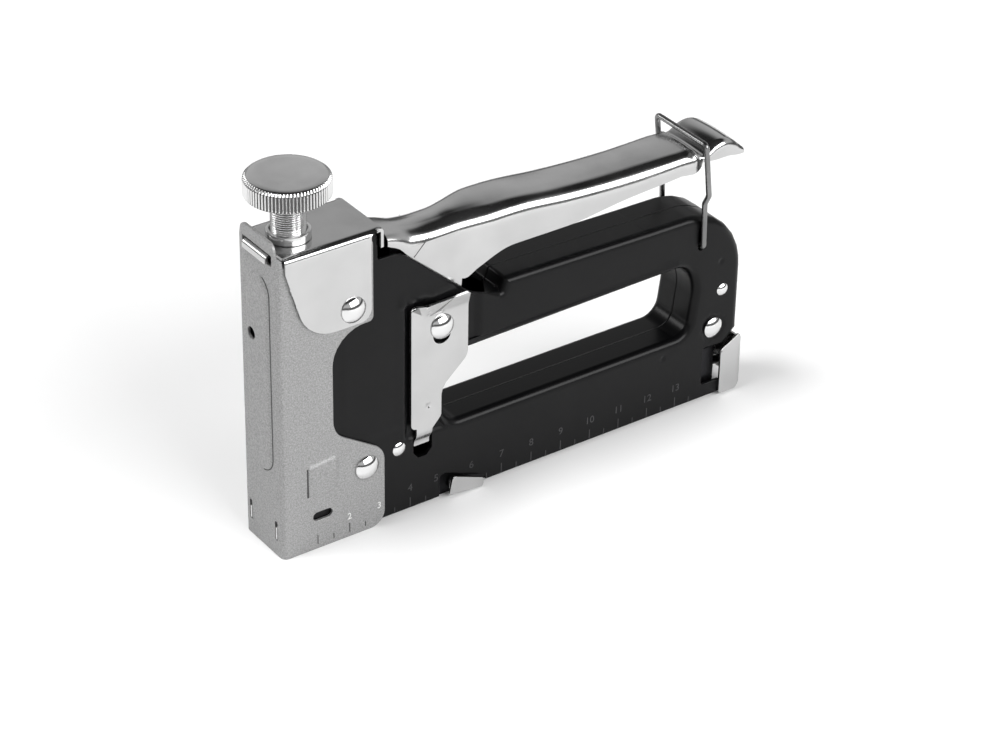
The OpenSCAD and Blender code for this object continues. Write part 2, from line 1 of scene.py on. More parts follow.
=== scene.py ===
"""Visual model of a hand staple gun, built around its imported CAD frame.

Every length is in millimetres until a mesh is written. X is counted towards the tail from the
zero of the rule, just behind the nose's front. Y runs across the gun and Z up from the surface
that it stands on.
"""

import logging
import math
from dataclasses import dataclass
from enum import Enum
from typing import Callable, Iterable, Optional, Sequence

import bmesh
import bpy
import numpy as np
from mathutils import Matrix, Vector, geometry

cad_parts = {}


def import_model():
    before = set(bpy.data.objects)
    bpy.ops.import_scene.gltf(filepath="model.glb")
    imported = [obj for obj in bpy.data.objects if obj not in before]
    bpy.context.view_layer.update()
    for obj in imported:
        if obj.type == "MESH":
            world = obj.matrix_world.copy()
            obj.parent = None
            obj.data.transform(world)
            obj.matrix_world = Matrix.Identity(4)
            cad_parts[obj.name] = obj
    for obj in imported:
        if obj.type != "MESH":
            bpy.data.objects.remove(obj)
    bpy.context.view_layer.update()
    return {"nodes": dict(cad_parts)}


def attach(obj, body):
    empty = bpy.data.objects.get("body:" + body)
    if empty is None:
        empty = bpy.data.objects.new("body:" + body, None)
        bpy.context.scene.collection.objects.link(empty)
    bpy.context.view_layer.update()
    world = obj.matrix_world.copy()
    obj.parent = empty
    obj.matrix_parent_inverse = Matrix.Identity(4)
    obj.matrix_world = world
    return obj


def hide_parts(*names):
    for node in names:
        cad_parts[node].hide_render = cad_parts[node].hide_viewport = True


LOG = logging.getLogger("staple_gun")
MM = 0.001
ZERO_TO_ORIGIN = 75.0  # the frame's origin is this far behind the rule's zero
ARC_STEPS = 8
WELD = 0.004  # points closer than this become one
QUARTER = math.pi / 2
PIVOT = (49.4, 55.5)  # the lever's pivot pin
TAIL_RIVET = (142.6, 23.3)

Corner = tuple[float, float, float]
Relief = Callable[[np.ndarray], np.ndarray]
Place = Callable[[np.ndarray, np.ndarray], np.ndarray]


# ---- outlines -------------------------------------------------------------------------


def unit(v: np.ndarray) -> np.ndarray:
    """The vector at length one."""
    return v / np.linalg.norm(v)


def rounded(corners: Sequence[Corner], steps: int = ARC_STEPS) -> np.ndarray:
    """Closed outline from corners [a, b, radius].

    Args:
        corners: Corners in order; a radius of 0 leaves one sharp.
        steps: Straight pieces in each rounded corner.
    Returns:
        The outline's points, one row each.
    """
    at = [np.array(c[:2], float) for c in corners]
    out: list[np.ndarray] = []
    for i, (_, _, r) in enumerate(corners):
        if r <= 0:
            out.append(at[i])
            continue
        out.extend(corner_arc(at[i - 1], at[i], at[(i + 1) % len(at)], r, steps))
    return np.array(out)


def corner_arc(
    p: np.ndarray, q: np.ndarray, s: np.ndarray, r: float, steps: int = ARC_STEPS
) -> list[np.ndarray]:
    """The arc of radius r that rounds the corner q between p and s.

    Args:
        p: The point before the corner.
        q: The corner.
        s: The point after it.
        r: Radius.
        steps: Straight pieces in the arc.
    Returns:
        The arc's points.
    """
    u, v = unit(p - q), unit(s - q)
    half = math.acos(max(-1.0, min(1.0, float(u @ v)))) / 2
    a, b = q + u * (r / math.tan(half)), q + v * (r / math.tan(half))
    c = q + unit(u + v) * (r / math.sin(half))
    return [
        c + r * unit((a - c) * (1 - k / steps) + (b - c) * (k / steps))
        for k in range(steps + 1)
    ]


def inset(corners: Sequence[Corner], depth: float) -> list[Corner]:
    """The corners of an anticlockwise outline moved inwards, or outwards if depth is negative.

    Args:
        corners: Corners [a, b, radius].
        depth: How far to move each side.
    Returns:
        The moved corners, as many as before.
    """
    at = [np.array(c[:2], float) for c in corners]
    out: list[Corner] = []
    for i, (_, _, r) in enumerate(corners):
        e, f = unit(at[i] - at[i - 1]), unit(at[(i + 1) % len(at)] - at[i])
        ne, nf = np.array([-e[1], e[0]]), np.array([-f[1], f[0]])
        q = at[i] + (ne + nf) * (depth / (1 + float(ne @ nf)))
        convex = e[0] * f[1] - e[1] * f[0] > 0
        radius = 0.0 if r == 0 else max(0.02, r + (-depth if convex else depth))
        out.append((float(q[0]), float(q[1]), radius))
    return out


def mirrored(right: Sequence[Corner]) -> list[Corner]:
    """The corners of a symmetrical outline from those on its right."""
    return [*right, *((-u, z, r) for u, z, r in reversed(right))]


def stadium(x0: float, z0: float, x1: float, z1: float, r: float) -> np.ndarray:
    """Outline of a slot with round ends between two centres."""
    a, b = np.array([x0, z0]), np.array([x1, z1])
    along = unit(b - a) if np.linalg.norm(b - a) > 0 else np.array([1.0, 0.0])
    start = math.atan2(along[1], along[0]) - QUARTER
    turn = np.linspace(0, math.pi, 13)
    ends = [
        c + r * np.stack([np.cos(start + s + turn), np.sin(start + s + turn)], 1)
        for c, s in ((b, 0.0), (a, math.pi))
    ]
    return np.concatenate(ends)


def inside(points: np.ndarray, loop: np.ndarray) -> np.ndarray:
    """Which points lie inside a closed loop, by the even-odd rule."""
    result = np.zeros(len(points), bool)
    for p, q in zip(loop, np.roll(loop, -1, axis=0)):
        if p[1] == q[1]:
            continue
        crosses = (points[:, 1] > min(p[1], q[1])) & (points[:, 1] <= max(p[1], q[1]))
        at = p[0] + (points[:, 1] - p[1]) * (q[0] - p[0]) / (q[1] - p[1])
        result ^= crosses & (points[:, 0] < at)
    return result


def in_box(points: np.ndarray, low: Sequence[float], high: Sequence[float]) -> np.ndarray:
    """Which points lie between two corners."""
    return np.all((points > low) & (points < high), axis=1)


def distance(points: np.ndarray, loop: np.ndarray) -> np.ndarray:
    """Distance of each point from a closed loop."""
    best = np.full(len(points), 1e9)
    for p, q in zip(loop, np.roll(loop, -1, axis=0)):
        e = q - p
        length = float(e @ e)
        t = np.clip((points - p) @ e / length, 0, 1) if length > 0 else np.zeros(len(points))
        best = np.minimum(best, np.linalg.norm(points - p - t[:, None] * e, axis=1))
    return best


def step(value: np.ndarray, start: float, end: float) -> np.ndarray:
    """Smooth rise from 0 at start to 1 at end."""
    t = np.clip((value - start) / (end - start), 0, 1)
    return t * t * (3 - 2 * t)


def band(value: np.ndarray, a: float, b: float, c: float, d: float) -> np.ndarray:
    """Smooth rise from 0 to 1 between a and b, and fall back to 0 between c and d."""
    return step(value, a, b) * (1 - step(value, c, d))


def curve_through(table: Sequence[tuple[float, float]], xs: np.ndarray) -> np.ndarray:
    """Heights at xs on a smooth line through [x, height] points.

    Args:
        table: The line's points in order of x.
        xs: Where the heights are wanted.
    Returns:
        One height for each x.
    """
    x, y = np.array(table, float).T
    slope = np.diff(y) / np.diff(x)
    m = np.concatenate([[slope[0]], (slope[1:] + slope[:-1]) / 2, [slope[-1]]])
    m[1:-1][slope[1:] * slope[:-1] <= 0] = 0
    i = np.clip(np.searchsorted(x, xs, "right") - 1, 0, len(x) - 2)
    h = x[i + 1] - x[i]
    t = np.clip((xs - x[i]) / h, 0, 1)
    return (
        (2 * t**3 - 3 * t**2 + 1) * y[i]
        + (t**3 - 2 * t**2 + t) * h * m[i]
        + (3 * t**2 - 2 * t**3) * y[i + 1]
        + (t**3 - t**2) * h * m[i + 1]
    )


def bent(path: Sequence[Sequence[float]], r: float, steps: int = 6) -> np.ndarray:
    """Open path with every inner corner rounded at radius r."""
    p = [np.array(q, float) for q in path]
    out = [p[0]]
    for i in range(1, len(p) - 1):
        out.extend(corner_arc(p[i - 1], p[i], p[i + 1], r, steps))
    return np.array([*out, p[-1]])


# ---- meshes ---------------------------------------------------------------------------


def show(obj: bpy.types.Object) -> None:
    """Puts an object in the scene."""
    bpy.context.scene.collection.objects.link(obj)


class MeshMaker:
    """Collects points in millimetres and faces, and writes them as one object."""

    def __init__(self) -> None:
        """Starts empty."""
        self.points: list[np.ndarray] = []
        self.faces: list[tuple[int, ...]] = []
        self.count = 0

    def add(self, points: np.ndarray) -> np.ndarray:
        """Adds points and returns their numbers."""
        self.points.append(np.asarray(points, float))
        first = self.count
        self.count += len(points)
        return np.arange(first, self.count)

    def strip(self, a: np.ndarray, b: np.ndarray) -> None:
        """Quads between two closed rows of points of the same length."""
        for i in range(len(a)):
            j = (i + 1) % len(a)
            self.faces.append((int(a[i]), int(a[j]), int(b[j]), int(b[i])))

    def skin(self, rows: Sequence[np.ndarray]) -> None:
        """Quads between each closed row of points and the next."""
        for a, b in zip(rows, rows[1:]):
            self.strip(a, b)

    def rings(self, rings: Sequence[np.ndarray]) -> None:
        """A tube with filled ends through closed rings of as many points each."""
        rows = [self.add(r) for r in rings]
        self.skin(rows)
        self.faces += [tuple(int(k) for k in row) for row in (rows[0], rows[-1])]

    def fill(
        self,
        outer: np.ndarray,
        holes: Sequence[np.ndarray],
        place: Callable[[np.ndarray], np.ndarray],
        inner_points: np.ndarray,
    ) -> None:
        """Fills the area between an outline and its holes with triangles.

        Args:
            outer: The outline.
            holes: Outlines of the holes.
            place: Takes flat points to their places in space.
            inner_points: Further points to use inside the area.
        """
        loops = [outer, *holes]
        flat = np.concatenate([*loops, inner_points])
        edges: list[tuple[int, int]] = []
        first = 0
        for loop in loops:
            n = len(loop)
            edges += [(first + i, first + (i + 1) % n) for i in range(n)]
            first += n
        made = geometry.delaunay_2d_cdt([Vector(p) for p in flat], edges, [], 0, 1e-5)
        points = np.array([tuple(v) for v in made[0]])
        tris = np.array(made[2])
        middle = points[tris].mean(1)
        keep = inside(middle, outer)
        for hole in holes:
            keep &= ~inside(middle, hole)
        numbers = self.add(place(points))
        self.faces += [tuple(int(numbers[k]) for k in t) for t in tris[keep]]

    def write(
        self,
        name: str,
        material: bpy.types.Material,
        crease: float = 32.0,
        edge: float = 0.0,
    ) -> bpy.types.Object:
        """Welds the points and makes the object.

        Args:
            name: The object's name.
            material: Its finish.
            crease: Faces that meet at more degrees than this keep a sharp edge.
            edge: Width of the small rounding on sharp edges, in millimetres.
        Returns:
            The new object.
        """
        points = np.concatenate(self.points)
        points = (points - [ZERO_TO_ORIGIN, 0, 0]) * MM
        mesh = bpy.data.meshes.new(name)
        mesh.from_pydata(points.tolist(), [], self.faces)
        bm = bmesh.new()
        bm.from_mesh(mesh)
        bmesh.ops.remove_doubles(bm, verts=bm.verts, dist=WELD * MM)
        bmesh.ops.dissolve_degenerate(bm, edges=bm.edges, dist=1e-7)
        loose = [v for v in bm.verts if not v.link_faces]
        bmesh.ops.delete(bm, geom=loose, context="VERTS")
        bmesh.ops.recalc_face_normals(bm, faces=bm.faces)
        for f in bm.faces:
            f.smooth = True
        for e in bm.edges:
            if len(e.link_faces) == 2:
                e.smooth = e.calc_face_angle(0.0) < math.radians(crease)
        bm.to_mesh(mesh)
        bm.free()
        obj = bpy.data.objects.new(name, mesh)
        show(obj)
        mesh.materials.append(material)
        if edge > 0:
            bevel = obj.modifiers.new("edges", "BEVEL")
            bevel.width = edge * MM
            bevel.segments = 2
            bevel.limit_method = "ANGLE"
            bevel.angle_limit = math.radians(max(crease, 40.0))
            bevel.harden_normals = True
        normals = obj.modifiers.new("normals", "WEIGHTED_NORMAL")
        normals.keep_sharp = True
        return obj


def grid_inside(
    outer: np.ndarray, holes: Sequence[np.ndarray], spacing: float, clear: float
) -> np.ndarray:
    """Points of a staggered grid inside an outline and clear of its edges.

    Args:
        outer: The outline.
        holes: Outlines of the holes.
        spacing: Distance between points.
        clear: Least distance from any edge.
    Returns:
        The points.
    """
    lo, hi = outer.min(0), outer.max(0)
    xs = np.arange(lo[0], hi[0], spacing)
    zs = np.arange(lo[1], hi[1], spacing * 0.87)
    grid = np.array([(x + (k % 2) * spacing / 2, z) for k, z in enumerate(zs) for x in xs])
    keep = inside(grid, outer) & (distance(grid, outer) > clear)
    for hole in holes:
        keep &= ~inside(grid, hole) & (distance(grid, hole) > clear)
    return grid[keep]


def densify(loop: np.ndarray, spacing: float) -> np.ndarray:
    """Adds points along the long sides of a closed loop."""
    out: list[np.ndarray] = []
    for p, q in zip(loop, np.roll(loop, -1, axis=0)):
        n = max(1, int(np.linalg.norm(q - p) / spacing))
        out += [p + (q - p) * k / n for k in range(n)]
    return np.array(out)


def bent_sheet(
    maker: MeshMaker,
    outline: np.ndarray,
    holes: Sequence[np.ndarray],
    place: Place,
    thickness: float,
    relief: Optional[Relief] = None,
    spacing: float = 1.0,
) -> None:
    """A pressed sheet: a flat blank with holes that is bent and embossed.

    Args:
        maker: Takes the mesh.
        outline: The blank's outline.
        holes: Outlines of its holes.
        place: Takes flat points and their depths below the outer face to space.
        thickness: The sheet's thickness.
        relief: Height of the embossing above the outer face at each point.
        spacing: Distance between the mesh's points.
    """
    outline = densify(outline, spacing)
    holes = [densify(h, spacing) for h in holes]
    inner = grid_inside(outline, holes, spacing, spacing * 0.45)

    def at(depth: float) -> Callable[[np.ndarray], np.ndarray]:
        """The placing of one face of the sheet."""

        def put(points: np.ndarray) -> np.ndarray:
            """Places points of that face."""
            rise = relief(points) if relief else np.zeros(len(points))
            return place(points, depth - rise)

        return put

    for depth in (0.0, thickness):
        maker.fill(outline, holes, at(depth), inner)
    for loop in (outline, *holes):
        maker.strip(maker.add(at(0.0)(loop)), maker.add(at(thickness)(loop)))


def fold(
    across: np.ndarray, depth: np.ndarray, half: float, bend: float
) -> tuple[np.ndarray, np.ndarray]:
    """Bends flat points round two edges into a U.

    Args:
        across: Distances along the sheet from the middle of the U's base.
        depth: Depths below the outer face.
        half: Half of the U's width.
        bend: Outer radius of its bends.
    Returns:
        Places across the gun, and distances from the outer face of the base towards the legs.
    """
    a, flat = np.abs(across), half - bend
    turn = np.clip((a - flat) / bend, 0, QUARTER)
    leg = np.maximum(a - flat - QUARTER * bend, 0)
    y = np.sign(across) * (np.minimum(a, flat) + (bend - depth) * np.sin(turn))
    return y, bend - (bend - depth) * np.cos(turn) + leg


def unfold(away: float, half: float, bend: float) -> float:
    """Distance along the sheet to the point of a leg that is this far from the U's base."""
    return half + (QUARTER - 2) * bend + away


def side_place(y_outer: float, side: int) -> Place:
    """Placing of a flat sheet that stands along the gun.

    Args:
        y_outer: Distance of its outer face from the middle plane.
        side: -1 for the left of the gun, 1 for the right.
    Returns:
        A function from flat points and depths to space.
    """

    def put(p: np.ndarray, depth: np.ndarray) -> np.ndarray:
        """Places the points."""
        return np.stack([p[:, 0], side * (y_outer - depth) * np.ones(len(p)), p[:, 1]], 1)

    return put


def lathe(
    maker: MeshMaker,
    profile: Sequence[tuple[float, float]],
    centre: Sequence[float],
    axis: Sequence[float],
    segments: int = 48,
    ripple: Optional[Callable[[float], np.ndarray]] = None,
) -> None:
    """A turned shape.

    Args:
        maker: Takes the mesh.
        profile: Points [radius, height] from one end on the axis to the other.
        centre: The point on the axis where height is 0.
        axis: The direction of rising height.
        segments: Points round the axis.
        ripple: Radius offsets round the axis at a height, as for a knurl.
    """
    n = Vector(axis).normalized()
    u = n.orthogonal().normalized()
    v = n.cross(u)
    turn = np.linspace(0, 2 * math.pi, segments, endpoint=False)
    ring = np.outer(np.cos(turn), u) + np.outer(np.sin(turn), v)
    rows = []
    for r, h in profile:
        wide = np.full(segments, max(r, 1e-4)) + (ripple(h) if ripple else 0)
        rows.append(np.array(centre) + h * np.array(n) + wide[:, None] * ring)
    maker.rings(rows)


def tube(maker: MeshMaker, path: np.ndarray, r: float, sides: int = 16) -> None:
    """A round wire along a path, with slightly rounded ends.

    Args:
        maker: Takes the mesh.
        path: The wire's middle line.
        r: Its radius.
        sides: Points round it.
    """
    tangents = np.gradient(path, axis=0)
    side = np.array(Vector(tangents[0]).orthogonal().normalized())
    rings = []
    turn = np.linspace(0, 2 * math.pi, sides, endpoint=False)
    for k, (p, t) in enumerate(zip(path, tangents)):
        t = unit(t)
        side = unit(side - t * float(side @ t))
        up = np.cross(t, side)
        wide = r * (np.outer(np.cos(turn), side) + np.outer(np.sin(turn), up))
        if k == 0:
            rings.append(p + wide * 0.8)
            rings.append(p + t * r * 0.2 + wide)
        elif k == len(path) - 1:
            rings.append(p - t * r * 0.2 + wide)
            rings.append(p + wide * 0.8)
        else:
            rings.append(p + wide)
    maker.rings(rings)


def slab(maker: MeshMaker, outline: np.ndarray, y0: float, y1: float) -> None:
    """A flat plate that stands along the gun between y0 and y1."""
    faces = [np.full(len(outline), y) for y in (y0, y1)]
    maker.rings([np.stack([outline[:, 0], y, outline[:, 1]], 1) for y in faces])


def ribbon(
    maker: MeshMaker, path: np.ndarray, thickness: float, half: float, corner: float = 0.0
) -> None:
    """A strip of sheet bent along a path of [x, z] points, as wide as 2 * half across the gun.

    Args:
        maker: Takes the mesh.
        path: The outer face of the strip.
        thickness: The sheet's thickness, to the right of the path.
        half: Half of the strip's width.
        corner: How much narrower the strip's last point is, as for rounded corners.
    """
    t = np.gradient(path, axis=0)
    t /= np.linalg.norm(t, axis=1)[:, None]
    back = path + thickness * np.stack([t[:, 1], -t[:, 0]], 1)
    rows = []
    for k, (p, q) in enumerate(zip(path, back)):
        w = half - (corner if k == len(path) - 1 else 0.0)
        rows.append(
            np.array([[p[0], -w, p[1]], [p[0], w, p[1]], [q[0], w, q[1]], [q[0], -w, q[1]]])
        )
    maker.rings(rows)


# ---- finishes -------------------------------------------------------------------------


def linear(hex_colour: str) -> tuple[float, float, float, float]:
    """An sRGB hex colour as linear values with full alpha."""
    parts = [int(hex_colour[i : i + 2], 16) / 255 for i in (1, 3, 5)]
    r, g, b = (c / 12.92 if c <= 0.04045 else ((c + 0.055) / 1.055) ** 2.4 for c in parts)
    return (r, g, b, 1.0)


def set_stops(ramp: bpy.types.Node, stops: Sequence[tuple[float, str]]) -> None:
    """Gives a colour ramp its stops, each a position and an sRGB hex colour."""
    elements = ramp.color_ramp.elements
    while len(elements) < len(stops):
        elements.new(0.5)
    for element, (at, colour) in zip(elements, stops):
        element.position = at
        element.color = linear(colour)


class Surface:
    """A material under construction, with one function that adds a node."""

    def __init__(self, name: str) -> None:
        """Makes the material with an empty shader tree."""
        self.material = bpy.data.materials.new(name)
        self.material.use_nodes = True
        self.tree = self.material.node_tree
        self.tree.nodes.clear()
        self.out = self.node("ShaderNodeOutputMaterial")
        self.shader = self.node("ShaderNodeBsdfPrincipled")
        self.link(self.shader, "BSDF", self.out, "Surface")

    def node(self, kind: str, inputs: Optional[dict] = None) -> bpy.types.Node:
        """Adds a node.

        Args:
            kind: The node's type name.
            inputs: Socket values by name; a pair of node and socket name is linked.
        Returns:
            The node.
        """
        made = self.tree.nodes.new(kind)
        for key, value in (inputs or {}).items():
            if isinstance(value, tuple) and isinstance(value[0], bpy.types.Node):
                self.link(value[0], value[1], made, key)
            else:
                made.inputs[key].default_value = value
        return made

    def link(self, a: bpy.types.Node, a_socket: str, b: bpy.types.Node, b_socket: str) -> None:
        """Links one node's output to another's input."""
        self.tree.links.new(a.outputs[a_socket], b.inputs[b_socket])

    def place_mm(self, stretch: Sequence[float] = (1.0, 1.0, 1.0)) -> bpy.types.Node:
        """Object coordinates in millimetres, stretched along the axes."""
        at = self.node("ShaderNodeTexCoord")
        return self.node(
            "ShaderNodeMapping",
            {"Vector": (at, "Object"), "Scale": [1000.0 * s for s in stretch]},
        )

    def noise(
        self,
        scale: float,
        detail: float = 2.0,
        stretch: Sequence[float] = (1.0, 1.0, 1.0),
        roughness: float = 0.5,
    ) -> bpy.types.Node:
        """Noise over the object.

        Args:
            scale: Swells in a millimetre.
            detail: Octaves.
            stretch: Factors for the swells along the three axes.
            roughness: Strength of the finer octaves.
        Returns:
            The node.
        """
        at = (self.place_mm(stretch), "Vector")
        inputs = {"Vector": at, "Scale": scale, "Detail": detail, "Roughness": roughness}
        return self.node("ShaderNodeTexNoise", inputs)

    def tint(self, source: bpy.types.Node, stops: Sequence[tuple[float, str]]) -> None:
        """Colours the surface by sRGB hex stops over a noise."""
        made = self.node("ShaderNodeValToRGB", {"Fac": (source, "Fac")})
        set_stops(made, stops)
        self.link(made, "Color", self.shader, "Base Color")

    def rough(
        self,
        source: bpy.types.Node,
        low: float,
        high: float,
        span: tuple[float, float] = (0.0, 1.0),
    ) -> None:
        """Varies the roughness from low to high while a noise goes through its span."""
        inputs = {"Value": (source, "Fac"), "From Min": span[0], "From Max": span[1]}
        made = self.node("ShaderNodeMapRange", {**inputs, "To Min": low, "To Max": high})
        self.link(made, "Result", self.shader, "Roughness")

    def bump(self, source: bpy.types.Node, strength: float, distance: float) -> None:
        """Raises the surface by a noise, to a height of distance metres."""
        inputs = {"Height": (source, "Fac"), "Strength": strength, "Distance": distance}
        self.link(self.node("ShaderNodeBump", inputs), "Normal", self.shader, "Normal")

    def set(self, **values: float | tuple[float, ...]) -> None:
        """Sets inputs of the shader, named with _ for a space."""
        for key, value in values.items():
            self.shader.inputs[key.replace("_", " ")].default_value = value


@dataclass(frozen=True)
class StovedEnamel:
    """Black stoved enamel on pressed steel: a soft gloss with a faint orange peel."""

    name: str = "stoved_black_enamel"
    dark: str = "#070708"
    light: str = "#0c0c0d"
    peel_mm: float = 1.1  # spacing of the orange peel's swells

    def build(self) -> bpy.types.Material:
        """Makes the material."""
        s = Surface(self.name)
        cloud = s.noise(0.05, 3.0)
        s.tint(cloud, [(0.3, self.dark), (0.7, self.light)])
        s.rough(cloud, 0.27, 0.36)
        s.bump(s.noise(1 / self.peel_mm), 0.12, 0.00005)
        s.set(IOR=1.24, Coat_Weight=0.04, Coat_Roughness=0.12)
        return s.material


@dataclass(frozen=True)
class PowderCoat:
    """Silver powder coat: satin with a fine sparkling grain of aluminium flake."""

    name: str = "silver_powder_coat"
    low: str = "#7a7a7a"
    high: str = "#a4a4a4"
    grain_mm: float = 0.45  # flake clusters, drawn a little coarser than real so that they show

    def build(self) -> bpy.types.Material:
        """Makes the material."""
        s = Surface(self.name)
        grain = s.noise(1 / self.grain_mm, 4.0, roughness=0.7)
        s.tint(grain, [(0.32, self.low), (0.68, self.high)])
        s.rough(grain, 0.5, 0.38)
        s.bump(grain, 0.25, 0.00006)
        s.set(Metallic=0.45)
        return s.material


@dataclass(frozen=True)
class BrightMetal:
    """A plated or drawn metal: its colour, polish and the fine lines left by making it."""

    name: str
    colour: str
    worn: str
    smooth: float
    rough: float
    line_mm: float = 0.6  # spacing of the drawing lines
    stretch: tuple[float, float, float] = (0.03, 1.0, 1.0)
    depth: float = 0.06

    def build(self) -> bpy.types.Material:
        """Makes the material."""
        s = Surface(self.name)
        cloud = s.noise(0.09, 4.0)
        s.tint(cloud, [(0.3, self.colour), (0.75, self.worn)])
        s.rough(cloud, self.smooth, self.rough, (0.3, 0.7))
        s.bump(s.noise(1 / self.line_mm, 3.0, self.stretch), self.depth, 0.00005)
        s.set(Metallic=1.0)
        return s.material


@dataclass(frozen=True)
class MouldedRubber:
    """Black moulded rubber: dull, with a soft grain."""

    name: str = "moulded_rubber"

    def build(self) -> bpy.types.Material:
        """Makes the material."""
        s = Surface(self.name)
        s.tint(s.noise(2.0), [(0.3, "#141414"), (0.7, "#202020")])
        s.set(Roughness=0.75)
        return s.material


class Finish(Enum):
    """The record's material slots, each with the finish that it gets here."""

    BLACK = ("black_paint", StovedEnamel())
    NOSE = ("nose_paint", PowderCoat())
    # Nickel over polished sheet: mirror-like with a faint haze and drawing lines
    PLATED = ("plated_sheet", BrightMetal("nickel_plated_sheet", "#c6c6c6", "#bcbcbc", 0.13, 0.22))
    # Turned and plated: rings run round the screw's axis
    TURNED = (
        "plated_turned",
        BrightMetal(
            "nickel_plated_turning", "#dadada", "#cdcdcd", 0.14, 0.24, 0.35, (1.0, 1.0, 0.2), 0.08
        ),
    )
    # Painted shade: a darker grey just under the roots of the knurl and the thread, so that they
    # stand apart from their crests
    GROOVE = ("plated_turned", BrightMetal("painted_groove_shade", "#606060", "#505050", 0.4, 0.5))
    # Painted shade: a darker nickel for the shaded facet of the retainer plate's fold and for the
    # crease in the lever's cheeks
    SCUFFED = ("plated_sheet", BrightMetal("nickel_painted_shade", "#8e8e8e", "#787878", 0.3, 0.4))
    RIVET = (
        "rivet_steel",
        BrightMetal("plated_rivet", "#e2e2e2", "#d6d6d6", 0.07, 0.12, 0.8, (1.0, 1.0, 1.0), 0.02),
    )
    WIRE = (
        "wire_steel",
        BrightMetal(
            "drawn_spring_wire", "#8e8e8e", "#747474", 0.2, 0.32, 0.2, (1.0, 1.0, 0.05), 0.1
        ),
    )
    TOOL = ("tool_steel", BrightMetal("ground_tool_steel", "#9a9a9c", "#858588", 0.3, 0.42))
    MAGAZINE = ("magazine_steel", BrightMetal("phosphated_sheet", "#343436", "#28282a", 0.34, 0.46))
    RUBBER = ("buffer_rubber", MouldedRubber())
    # The rule's marks on the enamel are only a little lighter than the enamel
    RULE = ("black_paint", StovedEnamel("stamped_enamel", "#343435", "#3e3e3f"))
    # On the nose the rule's lines are dark and its numerals bright; the same dark grey is painted
    # shade at the foot of the pressings, and the same bright grey a painted highlight on the slots'
    # edges
    NOSE_LINE = ("nose_paint", PowderCoat("rule_line_and_painted_shade", "#3c3c3c", "#4a4a4a"))
    NOSE_NUMERAL = ("nose_paint", PowderCoat("worn_numeral_and_painted_highlight", "#d0d0d0", "#e4e4e4"))

    @property
    def slot(self) -> str:
        """The record's slot."""
        return self.value[0]

    @property
    def material(self) -> bpy.types.Material:
        """The material, made on first use."""
        recipe = self.value[1]
        return bpy.data.materials.get(recipe.name) or recipe.build()


def settle(obj: bpy.types.Object, body: str, finish: Finish, *nodes: str) -> None:
    """Makes a piece part of the gun.

    Args:
        obj: The piece.
        body: The CAD body that it moves with.
        finish: Its finish; not used.
        *nodes: The CAD nodes that it stands for.
    """
    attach(obj, body)
    if nodes:
        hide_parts(*nodes)
    LOG.info("%s rides on %s with %d faces", obj.name, body, len(obj.data.polygons))


def finish_piece(
    maker: MeshMaker,
    name: str,
    body: str,
    finish: Finish,
    *nodes: str,
    crease: float = 30.0,
    edge: float = 0.0,
) -> None:
    """Writes a mesh and makes it part of the gun.

    Args:
        maker: The mesh.
        name: The piece's name.
        body: The CAD body that it moves with.
        finish: Its finish.
        *nodes: The CAD nodes that it stands for.
        crease: Degrees between faces from which an edge stays sharp.
        edge: Width of the small rounding on sharp edges.
    """
    settle(maker.write(name, finish.material, crease, edge), body, finish, *nodes)


# ---- the gun's parts ------------------------------------------------------------------


